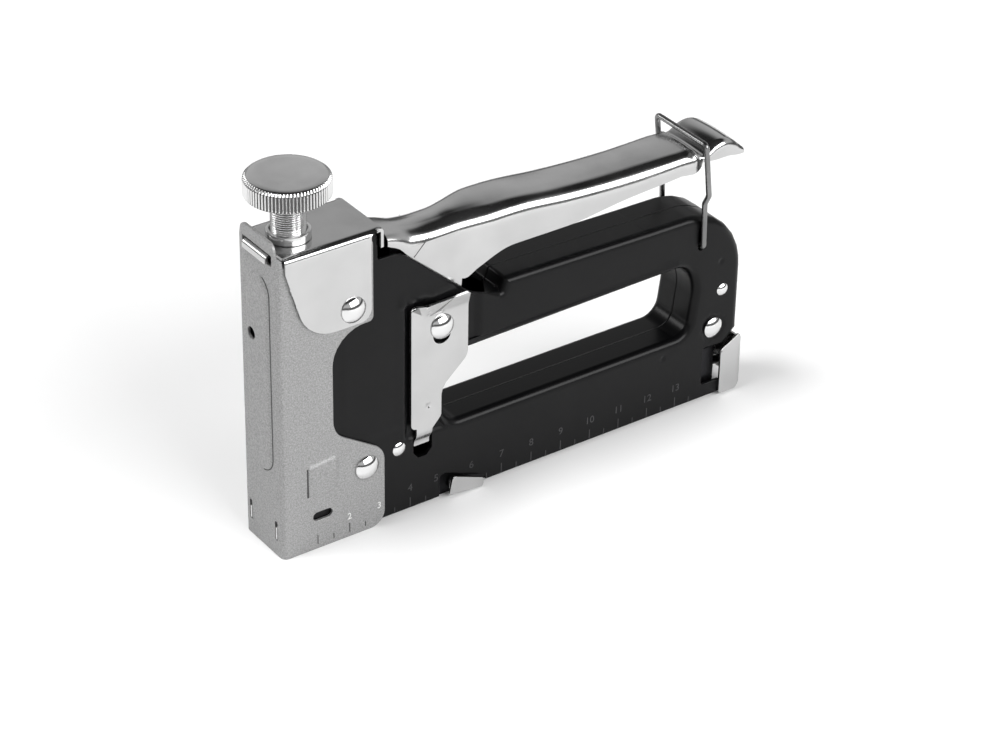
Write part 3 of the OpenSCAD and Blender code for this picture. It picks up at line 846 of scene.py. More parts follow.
@dataclass
class Shells:
    """The two pressed shells, with rolled ridges and a pocket for the plate."""

    half: float = 8.5
    sheet: float = 1.0
    ridge: float = 2.3  # bend radius of the ridges
    seam: float = 0.1
    edge: float = 0.25  # rounding of a plain sheet edge
    pad_rise: float = 0.12
    pocket_depth: float = 0.75
    brow_rise: float = 0.42  # the ledge pressed out above the pocket
    dimple_depth: float = 0.3
    ledge_z: float = 66.361  # height of the ledge above the pocket's front
    ledge_slope: float = 0.13  # its fall towards the tail

    OUTLINE = [
        (146.2, 1, 0.8), (146.2, 5.2, 0.5), (139.4, 5.2, 1), (139.4, 17.4, 1),
        (146.4, 17.2, 1), (151.8, 20, 1), (151.8, 61, 20.5), (118, 61.4, 60),
        (70.8, 62.4, 1), (69.4, 58.9, 0.5), (60, 61.4, 18), (37, 81.2, 10), (30, 81.2, 0.8),
        (30, 89, 0.8), (6, 89, 0.8), (6, 1, 0),
    ]  # fmt: skip
    CATCH_NOTCH = [
        (49.6, 1, 0.2), (49.6, 7.6, 0.8), (51.6, 7.9, 0.5), (64.9, 2.1, 0.4), (64.9, 1, 0.2),
    ]  # fmt: skip
    OPENING = [
        (51.3, 23.4, 5), (133.8, 23.4, 5), (135.8, 38.5, 12), (132.6, 46, 6), (51.3, 44.6, 4),
    ]  # fmt: skip
    # where each pressing starts, is full, is still full and has ended
    PAD_X, PAD_Z = (17.6, 20.2, 37.6, 38.8), (26.5, 29.5, 58, 70)
    POCKET_X, POCKET_FOOT = (38.2, 39.3, 60.5, 63.0), (22.4, 23.8)
    BROW_X, BROW_GAP_X = (35.8, 37.4, 57.5, 61.5), (38.4, 39.6, 44.5, 47.5)
    DIMPLES = [(144.3, 44.3), (125.1, 18.9)]
    BAIL_SLOT = (136.7, 51.2, 136.7, 56.2, 1.1)
    TONGUE_HOLE = [
        (41, 22.9, 0.3), (41, 18.2, 0.6), (42.6, 16.2, 0.6), (45.2, 16.2, 0.6), (47, 18.2, 0.6),
        (47, 22.9, 0.3),
    ]  # fmt: skip

    def profile(self, rolled: bool, steps: int = 6) -> list[tuple[float, float]]:
        """Section through an edge, from the outer face to the inner one.

        Args:
            rolled: Whether the sheet turns in to the other shell or simply ends.
            steps: Points in each bend.
        Returns:
            Points [distance from the outline, depth below the outer face].
        """
        r = self.ridge if rolled else self.edge
        quarter = [QUARTER * k / steps for k in range(steps + 1)]
        out = [(r * (1 - math.sin(a)), r * (1 - math.cos(a))) for a in quarter]
        if rolled:
            deep, ri = self.half - self.seam, r - self.sheet
            out += [(0.0, deep - 0.2), (0.2, deep)]
            out += [(self.sheet - 0.1, deep), (self.sheet, deep - 0.1)]
            out += [(r - ri * math.cos(a), r - ri * math.sin(a)) for a in quarter]
        else:
            out += [(0.0, y) for y in (r + 0.02, 0.4, 0.6, self.sheet - r - 0.02)]
            out += [(r * (1 - math.cos(a)), self.sheet - r + r * math.sin(a)) for a in quarter]
        return out

    def edge_rings(
        self, corners: Sequence[Corner], inwards: int, rolled: Callable[[np.ndarray], np.ndarray]
    ) -> list[tuple[np.ndarray, np.ndarray]]:
        """Rings of points along an outline, one for each point of its section.

        Args:
            corners: The outline's corners.
            inwards: 1 if the sheet lies inside the outline, -1 if it lies outside.
            rolled: Says for each point how far the edge is rolled in, from 0 to 1.
        Returns:
            Flat points and depths of each ring.
        """
        weight = rolled(rounded(corners))[:, None]
        rings = []
        for (d1, y1), (d0, y0) in zip(self.profile(True), self.profile(False)):
            a = rounded(inset(corners, inwards * d1))
            b = rounded(inset(corners, inwards * d0))
            depth = (y1 * weight + y0 * (1 - weight))[:, 0]
            rings.append((a * weight + b * (1 - weight), depth))
        return rings

    def relief(self, p: np.ndarray, left: bool) -> np.ndarray:
        """Depth of the pressed pocket, pad and dimples at flat points."""
        x, z = p[:, 0], p[:, 1]
        depth = -self.pad_rise * band(x, *self.PAD_X) * band(z, *self.PAD_Z)
        if left:
            slant = z - (self.ledge_z - (x - self.POCKET_X[1]) * self.ledge_slope)
            pocket = band(x, *self.POCKET_X) * step(z, *self.POCKET_FOOT)
            pocket = pocket * (1 - step(slant, -2.7, -1.7))
            brow = band(slant, -2.6, -1.9, -2.2, 2.4) * band(x, *self.BROW_X)
            brow = brow * (1 - band(x, *self.BROW_GAP_X))
            ring = np.hypot(x - TAIL_RIVET[0], z - TAIL_RIVET[1])
            depth = depth + self.pocket_depth * pocket - self.brow_rise * brow
            depth = depth + self.dimple_depth * band(ring, 2.4, 3.3, 3.7, 4.3)
        for cx, cz in self.DIMPLES:
            away = np.hypot(x - cx, z - cz)
            depth = depth + self.dimple_depth * (1 - step(away, 0.2, 1.1))
        return depth

    def build_one(self, name: str, side: int) -> None:
        """Makes one shell.

        Args:
            name: The piece's name.
            side: -1 for left, 1 for right.
        """
        left = side < 0
        corners = [*(self.CATCH_NOTCH if left else []), *self.OUTLINE]
        maker = MeshMaker()
        put = side_place(self.half, side)
        outer = self.edge_rings(
            corners, 1, lambda p: ((p[:, 0] > 68.3) & (p[:, 1] > 19.4)).astype(float)
        )
        hole = self.edge_rings(self.OPENING, -1, lambda p: np.ones(len(p)))
        for rings in (outer, hole):
            rows = []
            for k, (flat, depth) in enumerate(rings):
                if k in (0, len(rings) - 1):
                    depth = depth + self.relief(flat, left)
                rows.append(maker.add(put(flat, depth)))
            maker.skin(rows)
        holes = [stadium(*self.BAIL_SLOT)]
        if left:
            holes.append(rounded(self.TONGUE_HOLE, 3))
        rim_out, rim_in = outer[0][0], hole[0][0]
        coarse = grid_inside(rim_out, [rim_in, *holes], 2.2, 1.0)
        fine = grid_inside(rim_out, [rim_in, *holes], 0.62, 0.35)
        near = in_box(fine, (16, 15), (64, 75))
        for centre, reach in [*((c, 1.8) for c in self.DIMPLES), (TAIL_RIVET, 4.6)]:
            near |= np.hypot(*(fine - centre).T) < reach
        far = ~in_box(coarse, (15.5, 14.5), (64.5, 75.5))
        inner = np.concatenate([coarse[far], fine[near]])
        for k, depth in ((0, 0.0), (-1, self.sheet)):
            maker.fill(
                outer[k][0],
                [hole[k][0], *holes],
                lambda p, d=depth: put(p, d + self.relief(p, left)),
                inner,
            )
        for loop in holes:
            rows = [maker.add(put(loop, d + self.relief(loop, left))) for d in (0.0, self.sheet)]
            maker.strip(*rows)
        node = "left_shell" if left else "right_shell"
        finish_piece(maker, name, "frame", Finish.BLACK, node, crease=38)

    def build(self) -> None:
        """Makes both shells."""
        self.build_one("shell_left", -1)
        self.build_one("shell_right", 1)


@dataclass
class NoseCover:
    """The silver cover: one sheet wrapped round the front, with a bead, bumps and slots."""

    front: float = -0.7  # the front stands a little ahead of the rule's zero
    half: float = 9.5
    sheet: float = 0.85
    bend: float = 1.7
    bead_half: float = 5.4
    bead_rise: float = 0.6
    bead_ends: tuple[float, float] = (24.5, 83.6)
    bump_rise: float = 0.7
    pip_depth: float = 0.3
    rim_rise: float = 0.14  # round the two slots
    slot_y: float = 6.3  # the two upright slots low on the front
    slot_span: tuple[float, float] = (5.5, 10.4)

    def across(self, x: float) -> float:
        """Distance along the sheet, from the middle of the front, of a point at x on a side."""
        return unfold(x - self.front, self.half, self.bend)

    def place(self, p: np.ndarray, depth: np.ndarray) -> np.ndarray:
        """Wraps flat points [across, z] round the nose, at depths below the outer face."""
        y, away = fold(p[:, 0], depth, self.half, self.bend)
        return np.stack([self.front + away, y, p[:, 1]], 1)

    def relief(self, p: np.ndarray) -> np.ndarray:
        """Height of the bead, the bumps and a dimple above the sheet."""
        u, z = p[:, 0], p[:, 1]
        lo, hi = self.bead_ends
        end = np.clip(z, lo + self.bead_half, hi - self.bead_half)
        bead = 1 - step(np.hypot(u, z - end), self.bead_half - 0.8, self.bead_half)
        x = np.abs(u) - self.across(0.0)
        crest = 25.6 + 0.09 * (x - 7.4)
        bump = band(x, 7.0, 7.7, 15.4, 17.0) * step(z, 16.4, 17.2)
        bump = bump * (1 - step(z - crest, 0.0, 1.8)) * (0.4 + 0.6 * step(z, 17.0, 25.0))
        pip = 1 - step(np.hypot((u + 7.4) * 1.6, (z - 19.6) * 0.55), 0.3, 1.4)
        gap = np.hypot(np.abs(u) - self.slot_y, z - np.clip(z, *self.slot_span))
        rims = 1 - step(gap, 0.9, 1.35)
        pressed = self.bead_rise * bead + self.bump_rise * bump
        return pressed - self.pip_depth * pip + self.rim_rise * rims

    def outline(self) -> np.ndarray:
        """The blank's outline in flat points [across, z]."""
        a = self.across
        right = [
            (a(31.2), 0, 4.5), (a(31.2), 23.9, 6), (a(15.4), 33.9, 7), (a(15.4), 64.5, 10),
            (a(28), 64.5, 1.5), (a(28), 88.2, 1), (a(1.2), 88.2, 0.4), (a(0.9), 90.5, 0.6),
            (8.6, 91.1, 0.8), (7.4, 94.9, 2.4),
        ]  # fmt: skip
        return rounded(mirrored(right))

    def holes(self) -> list[np.ndarray]:
        """Outlines of the slit, the round hole and the slots."""
        slit = [(-6.9, 88.2, 0.4), (6.9, 88.2, 0.4), (6.9, 91.3, 0.4), (-6.9, 91.3, 0.4)]
        found = [rounded(slit, 3), stadium(2.8, 64.4, 2.8, 64.41, 1.75)]
        low, high = self.slot_span
        for s in (-1, 1):
            found.append(stadium(s * self.slot_y, low, s * self.slot_y, high, 0.6))
            found.append(stadium(s * self.across(10.0), 10.2, s * self.across(13.4), 10.2, 1.3))
        return found

    def build(self) -> None:
        """Makes the cover."""
        maker = MeshMaker()
        bent_sheet(maker, self.outline(), self.holes(), self.place, self.sheet, self.relief, 0.5)
        finish_piece(maker, "nose_wrap", "frame", Finish.NOSE, "nose_cover", crease=45, edge=0.14)
        self.build_foot_lines()

    def build_foot_lines(self) -> None:
        """Makes painted shade as dark lines at the foot of the pressings and beside the slots, and
        painted highlights as bright strips on the slots' edges.
        """
        # Painted shade: thin dark wires round the bead's foot, along the bumps' front edges and
        # beside each slot
        lo, hi = self.bead_ends
        r = self.bead_half + 0.05
        path = []
        upper, lower = hi - self.bead_half, lo + self.bead_half
        for centre, *span in ((upper, 115, 180, 10), (lower, 180, 262, 12)):
            for a in np.radians(np.linspace(*span)):
                path.append((self.front, r * math.cos(a), centre + r * math.sin(a)))
        maker = MeshMaker()
        tube(maker, np.array(path), 0.16, 8)
        for side in (-1, 1):
            foot = [(7.25, side * self.half, z) for z in np.linspace(17.2, 26.0, 6)]
            tube(maker, np.array(foot), 0.3, 8)
            for x in (-0.5, 0.5):
                slit = [(self.front, side * self.slot_y + 1.1 * x, z) for z in (5.2, 10.6)]
                tube(maker, np.array(slit), 0.09, 8)
        finish_piece(maker, "nose_foot_shade_lines", "frame", Finish.NOSE_LINE, crease=60)
        # Painted highlight: thin bright strips on the slots' edges
        maker = MeshMaker()
        x0, x1 = self.front - 0.08, self.front + 0.5
        lip = np.array([(x0, 5.3), (x1, 5.3), (x1, 8.9), (x0, 8.9)])
        for side in (-1, 1):
            slab(maker, lip, side * self.slot_y - 0.28, side * self.slot_y + 0.28)
        finish_piece(maker, "nose_slit_highlights", "frame", Finish.NOSE_NUMERAL)


@dataclass
class Bracket:
    """The bright cap over the nose, with two cheeks, a lip at the front and a rear flange."""

    half: float = 10.4
    top: float = 91.0
    sheet: float = 0.85
    bend: float = 1.5
    lip_half: float = 5.5

    def across(self, z: float) -> float:
        """Distance along the sheet, from the middle of the top, of a point at height z."""
        return unfold(self.top - z, self.half, self.bend)

    def place(self, p: np.ndarray, depth: np.ndarray) -> np.ndarray:
        """Folds flat points [x, across] over the nose, at depths below the outer face."""
        y, away = fold(p[:, 1], depth, self.half, self.bend)
        return np.stack([p[:, 0], y, self.top - away], 1)

    def build(self) -> None:
        """Makes the bracket."""
        a = self.across
        upper = [
            (30.6, 9.7, 0.6), (27.1, 10.6, 0.5), (26.9, a(87), 0.5), (26.9, a(65.6), 3.5),
            (7.7, a(65.6), 11), (1.3, a(86.8), 3),
        ]  # fmt: skip
        outline = rounded([*[(x, -u, r) for x, u, r in reversed(upper)], *upper])
        maker = MeshMaker()
        ring = stadium(8.8, 0.0, 8.81, 0.0, 5.4)
        bent_sheet(maker, outline, [ring], self.place, self.sheet, None, 1.0)
        lip = bent([(2.4, self.top - 0.02), (-1.68, self.top - 0.02), (-1.68, 88.6)], 1.5)
        ribbon(maker, lip[::-1], self.sheet, self.lip_half)
        flange = bent([(29.0, self.top - 0.03), (31.03, self.top - 0.03), (31.03, 85.4)], 1.1)
        ribbon(maker, flange, self.sheet, self.half - 0.6)
        finish_piece(
            maker, "bracket_cap", "frame", Finish.PLATED, "top_bracket", crease=40, edge=0.14
        )


@dataclass
class ForceScrew:
    """The adjusting screw: a knurled head on a threaded shank, in its bush."""

    x: float = 8.8
    shank: float = 4.65
    pitch: float = 1.25  # advance of one turn
    starts: int = 2
    thread_depth: float = 0.38
    head: float = 11.4
    top: float = 108.85
    height: float = 5.65
    foot: float = 84.05
    teeth: int = 76
    knurl_depth: float = 0.5
    collar_foot: float = 86.5

    def ring(self, radius: float | np.ndarray, z: float, points: int) -> np.ndarray:
        """A ring of points round the screw's axis at height z."""
        turn = np.linspace(0, 2 * math.pi, points, endpoint=False)
        x, y = self.x + radius * np.cos(turn), radius * np.sin(turn)
        return np.stack([x, y, np.full(points, z)], 1)

    def knurl(self, z: float) -> np.ndarray:
        """Radius offsets of the straight knurl at a height above the head's underside."""
        segments = self.teeth * 6
        phase = np.arange(segments) % 6 / 6
        wave = np.abs(phase * 2 - 1)
        fade = min(1.0, max(0.0, min((z - 0.2) / 0.3, (self.height - 0.1 - z) / 0.45)))
        return -self.knurl_depth * np.minimum(wave * 1.25, 1.0) * fade

    def build_screw(self) -> None:
        """Makes the head and the thread."""
        low = self.top - self.height
        maker = MeshMaker()
        h, r = self.height, self.head
        profile = [(0, 0), (r - 1.3, 0), (r - 0.5, 0.12), (r - 0.12, 0.42), (r, 0.75)]
        profile += [(r, z) for z in np.linspace(1.0, h - 1.3, 6)]
        profile += [(r, h - 1.15), (r - 0.1, h - 0.88), (r - 0.38, h - 0.56), (r - 0.72, h - 0.3)]
        profile += [(r - 1.08, h - 0.1), (r - 1.4, h), (r - 3.0, h), (4.0, h), (0, h)]
        lathe(maker, profile, (self.x, 0, low), (0, 0, 1), self.teeth * 6, self.knurl)
        turn = np.linspace(0, 2 * math.pi, 96, endpoint=False)
        rings = []
        for z in np.arange(self.foot, low + 0.05, self.pitch / 20):
            phase = np.mod(self.starts * (z / self.pitch - turn / (2 * math.pi)), 1.0)
            crest = np.abs(phase * 2 - 1)
            fade = min(1.0, (low - z) / 1.0 + 0.02, (z - self.foot) / 0.8 + 0.1)
            wide = self.shank - self.thread_depth * (1 - crest * max(fade, 0.0))
            rings.append(self.ring(wide, z, 96))
        maker.rings(rings)
        finish_piece(
            maker, "force_screw", "adjusting_screw", Finish.TURNED, "adjusting_screw", crease=70
        )
        # Painted shade: dark cores just under the knurl's and the thread's roots, so that the
        # grooves show dark
        maker = MeshMaker()
        rim, root = r - 0.3, self.shank - 0.27
        core = [(0, 0.3), (rim, 0.3), (rim, h - 1.1), (rim - 0.8, h - 0.62), (0, h - 0.62)]
        lathe(maker, core, (self.x, 0, low), (0, 0, 1), 96)
        core = [(0, -8.5), (root, -8.5), (root, 0.2), (0, 0.2)]
        lathe(maker, core, (self.x, 0, low), (0, 0, 1), 48)
        finish_piece(maker, "screw_groove_shade", "adjusting_screw", Finish.GROOVE)

    def build_bush(self) -> None:
        """Makes the collar that the screw turns in."""
        maker = MeshMaker()
        r = self.shank + 0.05
        outer = [(5.3, 0), (5.3, 4.45), (5.6, 4.52), (5.9, 4.75), (5.9, 6.5), (5.78, 6.85)]
        outer.append((5.4, 7.0))
        inner = [(r + 0.35, 7.0), (r, 6.7), (r, 0.3), (r + 0.2, 0.0)]
        rows = [maker.add(self.ring(w, self.collar_foot + z, 64)) for w, z in [*outer, *inner]]
        maker.skin([*rows, rows[0]])
        finish_piece(maker, "screw_collar", "frame", Finish.TURNED, "screw_bush", crease=40)

    def build(self) -> None:
        """Makes the screw and its bush."""
        self.build_screw()
        self.build_bush()


@dataclass
class Lever:
    """The squeeze lever: a long pressed channel that widens to the grip, with a hooked tail."""

    front_half: float = 6.9
    grip_half: float = 9.0
    sheet: float = 1.2
    shoulder: float = 4.4
    crown: float = 0.25
    start: float = 34.2
    end: float = 150.0

    TOP = [
        (34.2, 86.2), (40, 85.0), (46, 84.1), (52, 84.0), (58, 84.5), (66, 85.0), (76, 84.8),
        (90, 83.4), (105, 82.5), (120, 82.2), (133, 82.2), (134.2, 81.4), (135.2, 80.4),
        (136.2, 80.3), (137.6, 81.2), (139.6, 82.5), (142.6, 83.1), (145.2, 82.5), (147.6, 81.0),
        (150, 78.6),
    ]  # fmt: skip
    FOOT = [
        (34.2, 83.0), (38, 81.0), (41, 77.8), (46, 74.0), (56, 67.0), (58, 66.2), (61.7, 68.6),
        (67.5, 71.8), (73.5, 72.8), (88.6, 72.8), (109.8, 74.9), (127.7, 76.1), (134.6, 76.8),
        (135.4, 78.4), (137.6, 78.1), (139, 77.9), (144.5, 77.6), (148.6, 76.9), (150, 76.9),
    ]  # fmt: skip
    CHEEK = [
        (39.4, 80.6, 0), (43, 74, 4), (42.6, 48.8, 6.6), (56.2, 48.8, 6.6), (57.4, 66.4, 1),
        (57.4, 81, 0),
    ]  # fmt: skip

    def half_at(self, x: float) -> float:
        """Half of the lever's width at x."""
        wide = float(step(np.array([x]), 54, 68)[0])
        tail = float(step(np.array([x]), 140, 150)[0])
        return self.front_half + (self.grip_half - self.front_half) * wide - 0.5 * tail

    def section(self, x: float, top: float, foot: float) -> np.ndarray:
        """One closed cross-section of the channel, as points in space.

        Args:
            x: Where the section is.
            top: Height of the lever there.
            foot: Height of the cheeks' lower edge.
        Returns:
            The section's points, outer face first.
        """
        w, t = self.half_at(x), self.sheet
        slim = float(step(np.array([x]), 131.5, 136)[0])
        r = max(min(self.shoulder - 2.2 * slim, (top - foot) * 0.62), 0.3)
        ri = max(r - t, 0.1)
        foot = min(foot, top - max(r, t + ri) - 0.15)
        quarter = np.linspace(0, QUARTER, ARC_STEPS + 1)

        def arch(half: float, crest: float, radius: float) -> np.ndarray:
            """Right half of one face, from the foot to the middle of the top."""
            arc = np.stack([np.cos(quarter) - 1, np.sin(quarter) - 1], 1) * radius + [half, crest]
            flat = np.linspace(half - radius, 0, 5)[1:]
            rise = self.crown * (1 - (flat / (half - radius)) ** 2)
            top_row = np.stack([flat, np.full(4, crest) + rise], 1)
            legs = np.linspace(foot, crest - radius, 5)[:-1]
            return np.concatenate([np.stack([np.full(4, half), legs], 1), arc, top_row])

        rows = []
        for half, crest, radius in ((w, top - self.crown, r), (w - t, top - self.crown - t, ri)):
            right = arch(half, crest, radius)
            left = right[-2::-1] * [-1, 1]
            rows.append(np.concatenate([right, left]))
        flat = np.concatenate([rows[0], rows[1][::-1]])
        return np.stack([np.full(len(flat), x), flat[:, 0], flat[:, 1]], 1)

    def build(self) -> None:
        """Makes the lever with its cheeks."""
        xs = np.unique(
            np.concatenate(
                [np.arange(self.start, 54, 1.2), np.arange(54, 70, 0.8), np.arange(70, 132, 2.0),
                 np.arange(132, self.end, 0.4), [self.end]]
            )
        )  # fmt: skip
        tops, feet = curve_through(self.TOP, xs), curve_through(self.FOOT, xs)
        maker = MeshMaker()
        sections = [self.section(float(x), float(t), float(f)) for x, t, f in zip(xs, tops, feet)]
        rows = [maker.add(s) for s in sections]
        maker.skin(rows)
        n = len(rows[0])
        for row in (rows[0], rows[-1]):
            for k in range(n // 2 - 1):
                maker.faces.append(tuple(int(row[i]) for i in (k, k + 1, n - 2 - k, n - 1 - k)))
        for side in (-1, 1):
            bent_sheet(
                maker,
                rounded(self.CHEEK),
                [stadium(*PIVOT, PIVOT[0] + 0.01, PIVOT[1], 2.6)],
                side_place(self.front_half - 0.02, side),
                self.sheet - 0.02,
                None,
                2.0,
            )
        finish_piece(
            maker, "squeeze_lever", "lever", Finish.PLATED, "hand_lever", crease=38, edge=0.12
        )
        # Painted shade: a thin darker wire along each cheek where the crease runs, so that the
        # crease shows as a dark line
        maker = MeshMaker()
        for side in (-1, 1):
            crease = [(42.2, side * self.front_half, 77.3), (47.0, side * self.front_half, 82.0)]
            tube(maker, np.array(crease), 0.13, 8)
        finish_piece(maker, "lever_crease_shade", "lever", Finish.SCUFFED, crease=60)


@dataclass
class RetainerPlate:
    """The plate that holds the pivot pin: a keyhole, a turned-out lip and a tongue."""

    inner: float = 8.65
    outer: float = 9.5
    OUTLINE = [
        (39.7, 26.6, 1.5), (41.4, 26.1, 0.2), (41.5, 22.9, 0.2), (41.5, 19.9, 0.3),
        (46.4, 19.9, 0.3), (46.4, 22.9, 0.2), (46.5, 24.9, 0.2), (49.3, 28, 2), (49.3, 36.5, 6),
        (57.7, 44, 4),
        (57.7, 60.2, 0.5), (57.1, 64.5, 0.8), (41.4, 64.0, 0.6), (39.7, 62.8, 0.4),
    ]  # fmt: skip
    SLOT = (49.4, 53.1, *PIVOT, 2.8)
    # Painted shade: outline of the fold's facet that faces away from the light
    DIMPLE = (45.2, 32.2)
    FACET = [
        (40.1, 62.9), (42.7, 61.1), (43.9, 59.9), (45.7, 59.9), (48.6, 60.9), (51.6, 64.1),
        (41.6, 63.8),
    ]  # fmt: skip
    lip_slope: float = 0.42
    lip_rise: float = 1.9
    dimple_depth: float = 0.35
    tongue_drop: float = 1.5

    def relief(self, p: np.ndarray) -> np.ndarray:
        """The dimple, and the tongue's bend towards the shell."""
        x, z = p[:, 0], p[:, 1]
        dimple = 1 - step(np.hypot(x - self.DIMPLE[0], z - self.DIMPLE[1]), 0.25, 1.1)
        tongue = 1 - step(z, 20.5, 24.6)
        fold = np.maximum(59.8, 61.0 - 1.06 * (x - 42.7))
        lip = np.minimum(self.lip_slope * np.maximum(z - fold, 0.0), self.lip_rise)
        return lip - self.dimple_depth * dimple - self.tongue_drop * tongue

    def build(self) -> None:
        """Makes the plate."""
        maker = MeshMaker()
        bent_sheet(
            maker,
            rounded(self.OUTLINE, 5),
            [stadium(*self.SLOT)],
            side_place(self.outer, -1),
            self.outer - self.inner,
            self.relief,
            0.7,
        )
        finish_piece(
            maker, "pin_plate", "retainer", Finish.PLATED, "pin_retainer_plate",
            crease=14, edge=0.12,
        )
        # Painted shade: a thin darker patch laid just proud of the plate over the fold's shaded
        # facet
        facet = np.array(self.FACET)
        y = -self.outer - self.relief(facet)
        maker = MeshMaker()
        maker.rings([np.stack([facet[:, 0], y + d, facet[:, 1]], 1) for d in (-0.04, 0.1)])
        finish_piece(maker, "plate_fold_shade", "retainer", Finish.SCUFFED)


@dataclass
class Bail:
    """The wire bail that hooks over the lever's tail."""

    wire: float = 0.8
    half: float = 10.9
    leg_half: float = 9.45
    PIVOT = (136.7, 51.5)
    BAR = (134.6, 84.55)

    def build(self) -> None:
        """Makes the bail from one wire."""
        right = [
            (self.BAR[0], 0, self.BAR[1]), (self.BAR[0], self.half, self.BAR[1]),
            (136.4, self.half, 68.6), (136.3, self.leg_half, 65.5),
            (self.PIVOT[0], self.leg_half, self.PIVOT[1]), (self.PIVOT[0], 7.0, self.PIVOT[1]),
        ]  # fmt: skip
        left = [(x, -y, z) for x, y, z in right[:0:-1]]
        maker = MeshMaker()
        tube(maker, bent([*left, *right[1:]], 1.2, 7), self.wire)
        finish_piece(maker, "wire_bail", "bail", Finish.WIRE, "lock_bail", crease=50)


@dataclass
class RearPull:
    """The magazine's rear pull: two ears joined by a plate across the tail."""

    half: float = 9.5
    sheet: float = 0.8
    bend: float = 1.1
    back: float = 152.9

    def across(self, x: float) -> float:
        """Distance along the sheet, from the middle of the back, of a point at x on an ear."""
        return unfold(self.back - x, self.half, self.bend)

    def place(self, p: np.ndarray, depth: np.ndarray) -> np.ndarray:
        """Wraps flat points [across, z] round the tail, at depths below the outer face."""
        y, away = fold(p[:, 0], depth, self.half, self.bend)
        return np.stack([self.back - away, y, p[:, 1]], 1)

    def build(self) -> None:
        """Makes the pull."""
        a = self.across
        right = [
            (9.0, 3.0, 1.0), (a(151.2), 0.7, 1.0), (a(145.3), 0.7, 1.0), (a(145.3), 15.4, 0.8),
            (a(151.7), 18.8, 0.8), (9.0, 17.0, 1.0),
        ]  # fmt: skip
        maker = MeshMaker()
        bent_sheet(maker, rounded(mirrored(right)), [], self.place, self.sheet, None, 0.9)
        finish_piece(
            maker, "magazine_pull", "magazine_pull", Finish.PLATED, "rear_pull",
            crease=40, edge=0.14,
        )


@dataclass
class Catch:
    """The magazine catch: a folded tab that stands out through the left shell's notch."""

    SHELF = [(53.6, 4.4), (54.2, 5.0), (62.0, 1.5), (62.0, 0.9)]
    FRONT = [(51.9, 1.4, 0.4), (63.0, 0.2, 0.8), (63.4, 2.9, 1.1), (53.1, 6.9, 0.9)]
    ROOT = [(53.4, 1.3, 0.1), (57, 1.3, 0.1), (57, 2.9, 0.1), (53.4, 4.4, 0.1)]

    def build(self) -> None:
        """Makes the catch."""
        maker = MeshMaker()
        slab(maker, np.array(self.SHELF), -9.4, -7.1)
        slab(maker, rounded(self.FRONT, 4), -9.9, -9.3)
        slab(maker, rounded(self.ROOT, 2), -7.7, -7.1)
        finish_piece(
            maker, "catch_tab", "catch", Finish.PLATED, "magazine_catch", crease=35, edge=0.1
        )


@dataclass
class Rivets:
    """The rivets and pins that run across the gun, each with a domed head on both sides."""

    # name, CAD node, [x, z], shank radius, outer faces (left, right), head radius, head height
    ALL = [
        ("rivet_nose_upper", "upper_nose_rivet", (21.3, 70.3), 2.0, (10.4, 10.4), 3.7, 2.0),
        ("rivet_nose_lower", "lower_nose_rivet", (25.6, 20.1), 2.0, (9.5, 9.5), 3.65, 2.0),
        ("pivot_pin", "lever_pivot_pin", PIVOT, 2.5, (9.55, 8.55), 3.6, 1.9),
        ("rivet_frame", "frame_pin", (36.4, 21.2), 1.3, (8.5, 8.5), 2.0, 0.8),
        ("rivet_tail_large", "rear_rivet", TAIL_RIVET, 2.0, (8.5, 8.5), 3.1, 1.3),
        ("rivet_tail_small", "rear_small_rivet", (145.1, 35.0), 1.3, (8.5, 8.5), 1.95, 1.0),
    ]

    def head(self, r: float, h: float) -> list[tuple[float, float]]:
        """Profile of a domed head of radius r and height h, from its rim to its crown."""
        rim = h * 0.18
        ball = (r * r + (h - rim) ** 2) / (2 * (h - rim))
        widest = math.asin(min(1.0, r / ball))
        arc = [widest * (1 - k / 14) for k in range(15)]
        return [(r - 0.08, 0.0), (r, 0.06)] + [
            (ball * math.sin(a), h - ball * (1 - math.cos(a))) for a in arc
        ]

    def build(self) -> None:
        """Makes every rivet."""
        for name, node, (x, z), shank, faces, r, h in self.ALL:
            left, right = faces
            profile = [(0.0, -left - h)]
            profile += [(w, -left - up) for w, up in reversed(self.head(r, h)[:-1])]
            profile += [(shank, -left), (shank, right)]
            profile += [(w, right + up) for w, up in self.head(r, h)[:-1]]
            profile += [(0.0, right + h)]
            maker = MeshMaker()
            lathe(maker, profile, (x, 0, z), (0, 1, 0), 48)
            finish_piece(maker, name, "frame", Finish.RIVET, node, crease=50)


